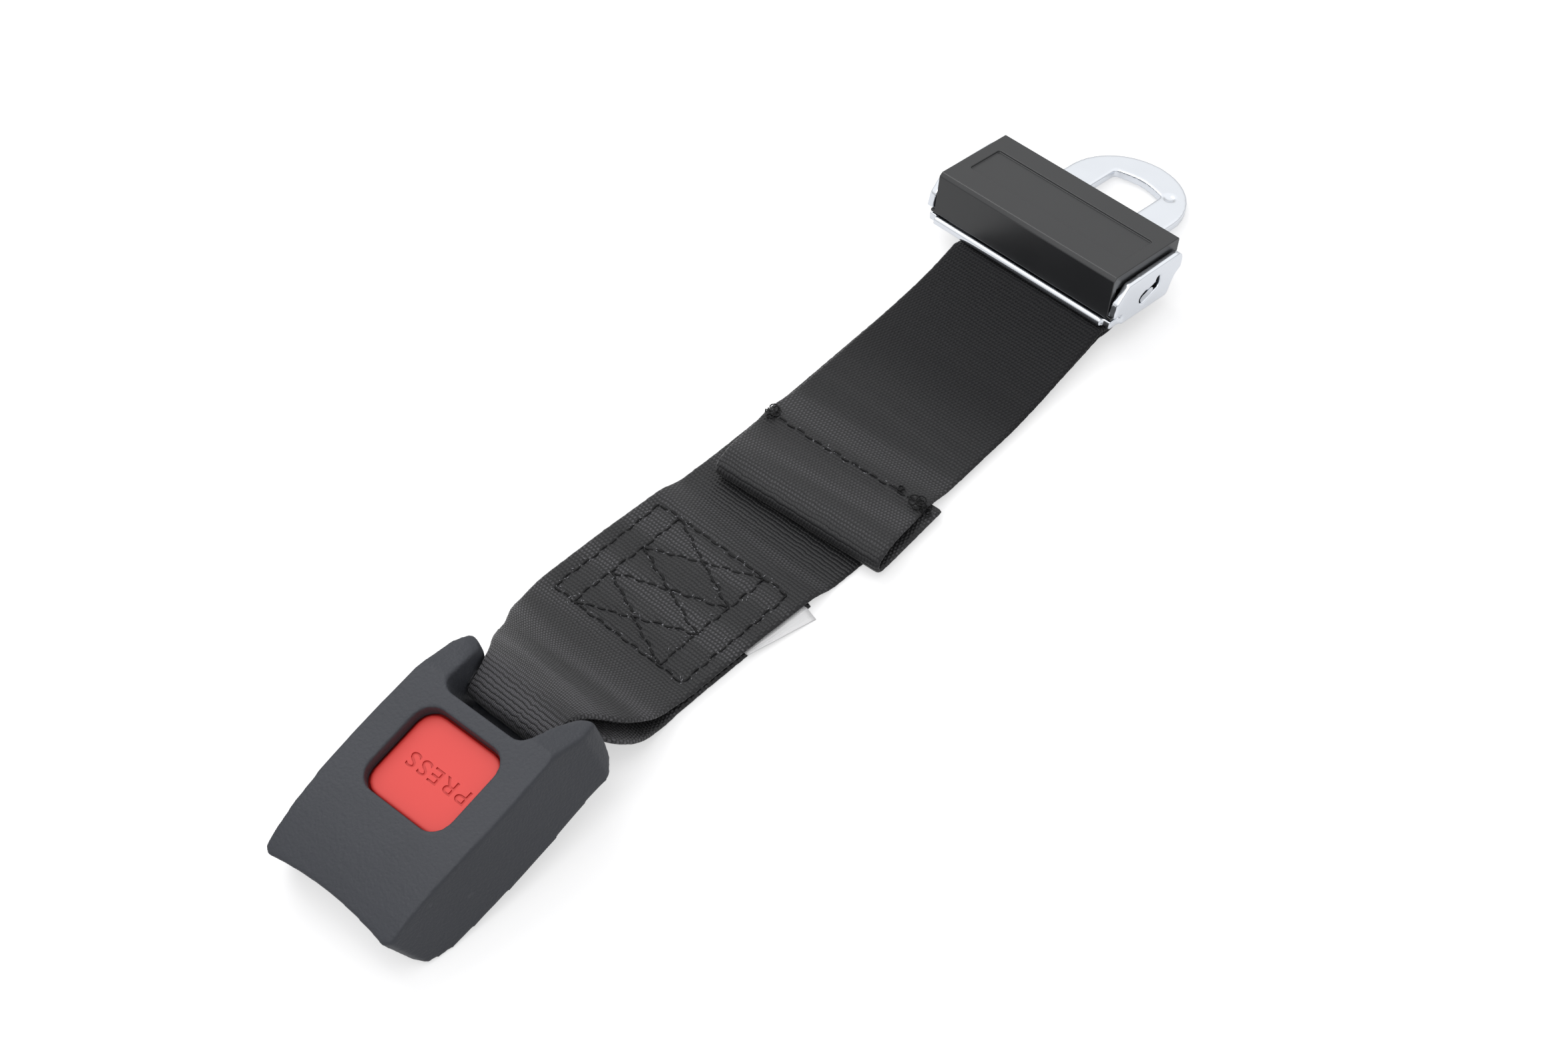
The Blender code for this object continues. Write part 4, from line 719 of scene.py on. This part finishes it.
# The box stitch: an outer box, two lines along the strap inside it, and three crosses between
# those two lines, sewn through all the layers. Its thread draws the webbing in a little.
stitch_left = 22.6
stitch_right = -17.0
inner_left = 16.4
inner_right = -10.0
cross_x = [-50.3, -38.6, -28.6, -16.8]
box_lines = [
    ((cross_x[0], stitch_left), (cross_x[-1], stitch_left)),
    ((cross_x[0], stitch_right), (cross_x[-1], stitch_right)),
    ((cross_x[0], stitch_left), (cross_x[0], stitch_right)),
    ((cross_x[-1], stitch_left), (cross_x[-1], stitch_right)),
    ((cross_x[0], inner_left), (cross_x[-1], inner_left)),
    ((cross_x[0], inner_right), (cross_x[-1], inner_right)),
]
for near, far in zip(cross_x, cross_x[1:]):
    box_lines.append(((near, inner_left), (far, inner_right)))
    box_lines.append(((near, inner_right), (far, inner_left)))
seam_line = ((20.1, 23.6), (22.6, -22.5))
box_sink = 0.34
box_sink_reach = 0.9
seam_sink = 0.55
seam_sink_reach = 1.3


def stitch_distance(x, y, lines):
    """How far a point of the strap, seen from above, is from the nearest line of stitches."""
    nearest = math.inf
    for (x0, y0), (x1, y1) in lines:
        run = Vector((x1 - x0, y1 - y0))
        share = limited(Vector((x - x0, y - y0)).dot(run) / run.length_squared)
        nearest = min(nearest, math.hypot(x - x0 - run.x * share, y - y0 - run.y * share))
    return nearest


# Used webbing is never quite flat: its edges curl down past the buckle's bar, it wanders up
# and down, and its outermost yarns stand out unevenly.
curl_height = 6.0
tail_curl = 0.35
wander_height = 0.22
rim_start = 0.965
fray_depth = 0.14


def strap_sheet():
    """The strap as one closed sheet, with a map in real millimetres for its weave."""
    shell = bmesh.new()
    weave_map = shell.loops.layers.uv.new("weave")
    across = []
    for i in range(columns + 1):
        share = -1 + 2 * i / columns
        across.append(math.copysign(1 - (1 - abs(share)) ** 1.25, share))
    rings = []
    for i, point in enumerate(middle_line):
        before = middle_line[max(i - 1, 0)]
        after = middle_line[min(i + 1, len(middle_line) - 1)]
        along = (after - before).normalized()
        normal = Vector((-along.y, along.x))
        half = line_half[i]
        gather = 1 - half / (web_width / 2)
        past_bar = limited((point.x - bar_x - 3) / 8)
        loaded = buckle_turn < i
        curl = curl_height * gather * (1 - gather) * past_bar * (1.0 if loaded else tail_curl)
        skew = 0.0
        if i > turn_index:
            skew = tab_skew * limited((tab_seam_x + 9 - point.x) / 8)
        sewn = buckle_turn < i and cross_x[0] - 6 < point.x < cross_x[-1] + 6
        seamed = turn_index < i <= fold_index and 15 < point.x < 28
        upper_side, lower_side = [], []
        for share in across:
            y = line_y[i] + share * half
            x = point.x - skew * share * half
            wander = noise.noise(Vector((i * ring_spacing * 0.09, share * 1.4, 3.0))) * wander_height
            dip = 0.0
            if sewn:
                dip = box_sink * math.exp(-(stitch_distance(x, y, box_lines) / box_sink_reach) ** 2)
            if seamed:
                dip = seam_sink * math.exp(-(stitch_distance(x, y, [seam_line]) / seam_sink_reach) ** 2)
            rim = max(0.0, (abs(share) - rim_start) / (1 - rim_start))
            edge = web_thickness / 2 * math.sqrt(max(0.04, 1 - rim ** 2)) * (1 + 0.35 * gather)
            fray = noise.noise(Vector((i * ring_spacing * 0.8, share * 3, 9.0))) * fray_depth
            fray *= abs(share) > 0.9
            droop = curl * abs(share) ** 3
            lift = wander * (0.35 if sewn else 1.0) * min(1.0, point.y / 4.0)
            for side, store in ((1, upper_side), (-1, lower_side)):
                sink = dip if side == 1 else 0.0
                spot = point + normal * (side * edge + lift - sink)
                place = Vector((x + spot.x - point.x, y + fray, spot.y - droop)) + belt_origin
                store.append(shell.verts.new(place * MM))
        rings.append((upper_side, lower_side))
    for i, ((upper0, lower0), (upper1, lower1)) in enumerate(zip(rings, rings[1:])):
        low_v, high_v = i * ring_spacing, (i + 1) * ring_spacing
        for j in range(columns):
            spans = [(j, low_v), (j + 1, low_v), (j + 1, high_v), (j, high_v)]
            top = shell.faces.new((upper0[j], upper0[j + 1], upper1[j + 1], upper1[j]))
            under = shell.faces.new((lower0[j], lower0[j + 1], lower1[j + 1], lower1[j]))
            for face in (top, under):
                for loop, (column, v) in zip(face.loops, spans):
                    loop[weave_map].uv = (across[column] * web_width / 2, v)
        for j in (0, columns):
            rim_face = shell.faces.new((upper0[j], upper1[j], lower1[j], lower0[j]))
            for loop, v in zip(rim_face.loops, (low_v, high_v, high_v, low_v)):
                loop[weave_map].uv = (across[j] * web_width / 2, v)
    for upper, lower in (rings[0], rings[-1]):
        for j in range(columns):
            shell.faces.new((upper[j], upper[j + 1], lower[j + 1], lower[j]))
    bmesh.ops.recalc_face_normals(shell, faces=shell.faces)
    return shell


# The webbing's weave: ribs across the strap, one to each millimetre, with the warp's short
# floats on them, set half a step over in every other rib. Painted highlights make the floats
# small bright bars, painted shade keeps the grooves between ribs nearly black, and the bends
# take a silky sheen. A painted sheen makes it palest round the buckle's bar, and painted shade
# makes it blackest beside the adjuster.
rib_pitch = 1.0
rib_sway = 0.9
float_pitch = 0.85
webbing, web_tree, web_output = new_material("black_polyester_webbing")
web_place = add_node(web_tree, "ShaderNodeUVMap", uv_map="weave")
web_sway = add_node(web_tree, "ShaderNodeTexNoise", {"Vector": web_place.outputs[0], "Scale": 0.35,
        "Detail": 2.0})
web_split = add_node(web_tree, "ShaderNodeSeparateXYZ", {"Vector": web_place.outputs[0]})
web_ribs = add_node(web_tree, "ShaderNodeMath", {0: web_split.outputs["Y"], 1: rib_pitch},
        operation="DIVIDE")
web_row = add_node(web_tree, "ShaderNodeMath", {0: web_sway.outputs["Fac"], 1: rib_sway,
        2: web_ribs.outputs[0]}, operation="MULTIPLY_ADD")
web_in_row = add_node(web_tree, "ShaderNodeMath", {0: web_row.outputs[0]}, operation="FRACT")
web_row_turn = add_node(web_tree, "ShaderNodeMath", {0: web_in_row.outputs[0], 1: math.pi},
        operation="MULTIPLY")
web_rib = add_node(web_tree, "ShaderNodeMath", {0: web_row_turn.outputs[0]}, operation="SINE")
web_rib_round = add_node(web_tree, "ShaderNodeMath", {0: web_rib.outputs[0], 1: 0.7}, operation="POWER")
web_row_number = add_node(web_tree, "ShaderNodeMath", {0: web_row.outputs[0]}, operation="FLOOR")
web_odd_row = add_node(web_tree, "ShaderNodeMath", {0: web_row_number.outputs[0], 1: 2.0},
        operation="MODULO")
web_floats = add_node(web_tree, "ShaderNodeMath", {0: web_split.outputs["X"], 1: float_pitch},
        operation="DIVIDE")
web_step = add_node(web_tree, "ShaderNodeMath", {0: web_odd_row.outputs[0], 1: 0.5,
        2: web_floats.outputs[0]}, operation="MULTIPLY_ADD")
web_in_step = add_node(web_tree, "ShaderNodeMath", {0: web_step.outputs[0]}, operation="FRACT")
web_step_turn = add_node(web_tree, "ShaderNodeMath", {0: web_in_step.outputs[0], 1: math.pi},
        operation="MULTIPLY")
web_swell = add_node(web_tree, "ShaderNodeMath", {0: web_step_turn.outputs[0]}, operation="SINE")
web_float = add_node(web_tree, "ShaderNodeMath", {0: web_swell.outputs[0], 1: 2.0}, operation="POWER")
web_float_part = add_node(web_tree, "ShaderNodeMath", {0: web_float.outputs[0], 1: 0.55, 2: 0.45},
        operation="MULTIPLY_ADD")
web_height = add_node(web_tree, "ShaderNodeMath", {0: web_rib_round.outputs[0],
        1: web_float_part.outputs[0]}, operation="MULTIPLY")
web_bump = add_node(web_tree, "ShaderNodeBump", {"Height": web_height.outputs[0], "Strength": 0.9,
        "Distance": 0.26 * MM})
web_panel_place = add_node(web_tree, "ShaderNodeMapping", {"Vector": web_place.outputs[0],
        "Scale": (0.012, 0.11, 1.0)})
web_panel = add_node(web_tree, "ShaderNodeTexNoise", {"Vector": web_panel_place.outputs[0], "Scale": 1.0,
        "Detail": 1.0})
web_tone = add_node(web_tree, "ShaderNodeMapRange", {"Value": web_panel.outputs["Fac"], "From Min": 0.38,
        "From Max": 0.62, "To Min": 0.45, "To Max": 0.98})
# Painted sheen and shade along the strap: lighter round the buckle's bar, darker towards the adjuster.
web_spot = add_node(web_tree, "ShaderNodeTexCoord")
web_along = add_node(web_tree, "ShaderNodeSeparateXYZ", {"Vector": web_spot.outputs["Object"]})
web_adjuster_shade = add_node(web_tree, "ShaderNodeMapRange", {"Value": web_along.outputs["X"], "From Min": 20 * MM,
        "From Max": 55 * MM, "To Min": 1.0, "To Max": 0.30})
web_bar_sheen = add_node(web_tree, "ShaderNodeMapRange", {"Value": web_along.outputs["X"],
        "From Min": -90 * MM, "From Max": -58 * MM, "To Min": 1.8, "To Max": 1.0})
web_painted_sheen_and_shade = add_node(web_tree, "ShaderNodeMath", {0: web_adjuster_shade.outputs[0], 1: web_bar_sheen.outputs[0]},
        operation="MULTIPLY")
# Painted highlights and shade from the weave: the higher the weave, the lighter its colour.
web_toned = add_node(web_tree, "ShaderNodeMath", {0: web_height.outputs[0], 1: web_tone.outputs[0]},
        operation="MULTIPLY")
web_lit = add_node(web_tree, "ShaderNodeMath", {0: web_toned.outputs[0], 1: web_painted_sheen_and_shade.outputs[0]},
        operation="MULTIPLY")
web_colour = add_node(web_tree, "ShaderNodeValToRGB", {"Fac": web_lit.outputs[0]})
web_colour.color_ramp.elements[0].position = 0.15
web_colour.color_ramp.elements[0].color = linear("#121215")
web_colour.color_ramp.elements[1].position = 0.95
web_colour.color_ramp.elements[1].color = linear("#525155")
web_middle = web_colour.color_ramp.elements.new(0.55)
web_middle.color = linear("#262628")
web_shine = add_node(web_tree, "ShaderNodeMapRange", {"Value": web_along.outputs["X"], "From Min": 20 * MM,
        "From Max": 55 * MM, "To Min": 0.33, "To Max": 0.16})
web_body = add_node(web_tree, "ShaderNodeBsdfPrincipled", {"Base Color": web_colour.outputs["Color"],
        "Roughness": 0.46, "Specular IOR Level": web_shine.outputs[0], "Sheen Weight": 0.08,
        "Normal": web_bump.outputs["Normal"]})
web_tree.links.new(web_body.outputs[0], web_output.inputs["Surface"])

strap = add_piece("woven_strap", strap_sheet(), webbing, "belt")
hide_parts("webbing_strap")

# Sewing thread: bonded black polyester, 0.54 mm thick, in lockstitches 2.7 mm long. Every
# stitch arches out of one needle hole and dips into the next, and no two lie quite in line.
thread_radius = 0.27 * MM
stitch_length = 2.7
stitch_drift = 0.16
stitch_lean = 0.14
stitch_zigzag = 0.22
stitch_arch = 0.36
hole_depth = 0.26
chance = random.Random(7)
strap_surface = BVHTree.FromPolygons([v.co.copy() for v in strap.data.vertices],
                                     [list(p.vertices) for p in strap.data.polygons])
sewing_thread, thread_tree, thread_output = new_material("black_sewing_thread")
thread_body = add_node(thread_tree, "ShaderNodeBsdfPrincipled", {"Base Color": linear("#08080A"),
        "Roughness": 0.55, "Specular IOR Level": 0.25})
thread_tree.links.new(thread_body.outputs[0], thread_output.inputs["Surface"])


def on_strap(x, y):
    """The strap's top surface over a point of its plan, in metres in the model's frame."""
    spot = (Vector((x, y, 0.0)) + belt_origin) * MM
    hit = strap_surface.ray_cast(Vector((spot.x, spot.y, 0.1)), Vector((0, 0, -1)))
    return hit[0] if hit[0] else Vector((spot.x, spot.y, 0.001))


def add_tube(shell, points, radius, sides=6):
    """A thin round tube through the points, tapered shut at both ends."""
    rings = []
    for i, point in enumerate(points):
        ahead = (points[min(i + 1, len(points) - 1)] - points[max(i - 1, 0)]).normalized()
        side = ahead.orthogonal().normalized()
        over = ahead.cross(side)
        size = radius * (0.35 if i in (0, len(points) - 1) else 1.0)
        rings.append([shell.verts.new(point + (side * math.cos(turn) + over * math.sin(turn)) * size)
                      for turn in [2 * math.pi * k / sides for k in range(sides)]])
    for ring0, ring1 in zip(rings, rings[1:]):
        for k in range(sides):
            shell.faces.new((ring0[k], ring0[(k + 1) % sides], ring1[(k + 1) % sides], ring1[k]))
    shell.faces.new(rings[0])
    shell.faces.new(rings[-1])


def sew(shell, start, end):
    """A row of stitches on the strap between two points of its plan."""
    run = Vector((end[0] - start[0], end[1] - start[1]))
    count = max(1, round(run.length / stitch_length))
    sideways = Vector((-run.y, run.x)).normalized()
    for i in range(count):
        points = []
        drift = chance.uniform(-stitch_drift, stitch_drift)
        lean = chance.uniform(-stitch_lean, stitch_lean)
        zigzag = stitch_zigzag if i % 2 else -stitch_zigzag
        for j in range(7):
            t = j / 6
            share = (i + 0.02 + 0.96 * t) / count
            off = drift + lean * (t - 0.5) + zigzag * math.sin(math.pi * t)
            spot = on_strap(start[0] + run.x * share + sideways.x * off,
                            start[1] + run.y * share + sideways.y * off)
            arch = math.sin(math.pi * t) ** 0.6
            points.append(spot + Vector((0, 0, (arch * stitch_arch - hole_depth) * MM)))
        add_tube(shell, points, thread_radius)


stitch_shell = bmesh.new()
for start, end in box_lines:
    sew(stitch_shell, start, end)
sew(stitch_shell, *seam_line)
bmesh.ops.recalc_face_normals(stitch_shell, faces=stitch_shell.faces)
add_piece("stitches", stitch_shell, sewing_thread, "belt")

# Pale fluff, that the needle has pulled up out of the webbing beside the stitches.
lint, lint_tree, lint_output = new_material("pale_lint")
lint_body = add_node(lint_tree, "ShaderNodeBsdfPrincipled", {"Base Color": linear("#A8A8AE"),
        "Roughness": 0.6})
lint_tree.links.new(lint_body.outputs[0], lint_output.inputs["Surface"])
lint_radius = 0.07 * MM
lint_spacing = 1.9
lint_spread = 0.55
lint_rise = 0.16
lint_droop = 0.12
lint_shell = bmesh.new()
for start, end in box_lines + [seam_line]:
    run = Vector((end[0] - start[0], end[1] - start[1]))
    for _ in range(round(run.length / lint_spacing)):
        share = chance.random()
        place_x = start[0] + run.x * share + chance.gauss(0.0, lint_spread)
        place_y = start[1] + run.y * share + chance.gauss(0.0, lint_spread)
        heading = chance.uniform(0, 2 * math.pi)
        reach = chance.uniform(0.15, 0.38)
        points = []
        for j in (-1, 0, 1):
            spot = on_strap(place_x + math.cos(heading) * reach * j,
                            place_y + math.sin(heading) * reach * j)
            points.append(spot + Vector((0, 0, (lint_rise - lint_droop * abs(j)) * MM)))
        add_tube(lint_shell, points, lint_radius, sides=4)
bmesh.ops.recalc_face_normals(lint_shell, faces=lint_shell.faces)
add_piece("needle_lint", lint_shell, lint, "belt")

# Where the seam of the tab starts and stops, its thread is sewn over itself and cut: a small
# tangle of loops at either end, and one stitch that has come loose beside it.
loose_radius = 0.17 * MM
loop_steps = 12
tangle_shell = bmesh.new()
for place_x, place_y, loops, reach in ((20.6, 22.8, 5, 1.6), (22.4, -21.4, 6, 1.9), (23.2, -14.6, 2, 1.4)):
    for _ in range(loops):
        start = Vector((place_x + chance.uniform(-0.8, 0.8), place_y + chance.uniform(-0.8, 0.8)))
        heading = chance.uniform(0, 2 * math.pi)
        bend = chance.choice((-1, 1)) * chance.uniform(0.35, 0.75)
        points = []
        for j in range(loop_steps):
            heading += bend + chance.uniform(-0.25, 0.25)
            start = start + Vector((math.cos(heading), math.sin(heading))) * reach * 0.32
            rise = 0.25 + 0.45 * math.sin(math.pi * j / (loop_steps - 1))
            points.append(on_strap(start.x, start.y) + Vector((0, 0, rise * MM)))
        add_tube(tangle_shell, points, loose_radius)
bmesh.ops.recalc_face_normals(tangle_shell, faces=tangle_shell.faces)
add_piece("thread_ends", tangle_shell, sewing_thread, "belt")

# The label: a blank strip of white satin ribbon, heat cut, sewn in between the layers. Its free
# edge comes out from under the strap and ripples a little where it is not held.
ripple_length = 4 * MM
ripple_height = 0.12 * MM
label_rest_z = 0.05 * MM
satin, satin_tree, satin_output = new_material("white_satin")
satin_place = add_node(satin_tree, "ShaderNodeTexCoord")
satin_weave = add_node(satin_tree, "ShaderNodeTexWave", {"Vector": satin_place.outputs["Object"],
        "Scale": 0.31 / (0.4 * MM), "Distortion": 1.0}, bands_direction="Y")
satin_bump = add_node(satin_tree, "ShaderNodeBump", {"Height": satin_weave.outputs["Fac"], "Strength": 0.3,
        "Distance": 0.05 * MM})
satin_body = add_node(satin_tree, "ShaderNodeBsdfPrincipled", {"Base Color": linear("#EDEDEE"),
        "Roughness": 0.42, "Normal": satin_bump.outputs["Normal"]})
satin_tree.links.new(satin_body.outputs[0], satin_output.inputs["Surface"])
label_shell = bmesh.new()
label_shell.from_mesh(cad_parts["white_label"].data)
bmesh.ops.remove_doubles(label_shell, verts=label_shell.verts, dist=0.002 * MM)
bmesh.ops.subdivide_edges(label_shell, edges=label_shell.edges, cuts=9, use_grid_fill=True)
for vertex in label_shell.verts:
    ripple = noise.noise(vertex.co / ripple_length) * ripple_height
    vertex.co.z = max(label_rest_z, vertex.co.z + ripple)
label = add_piece("satin_label", label_shell, satin, "belt")
label.data.set_sharp_from_angle(angle=math.radians(50))
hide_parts("white_label")
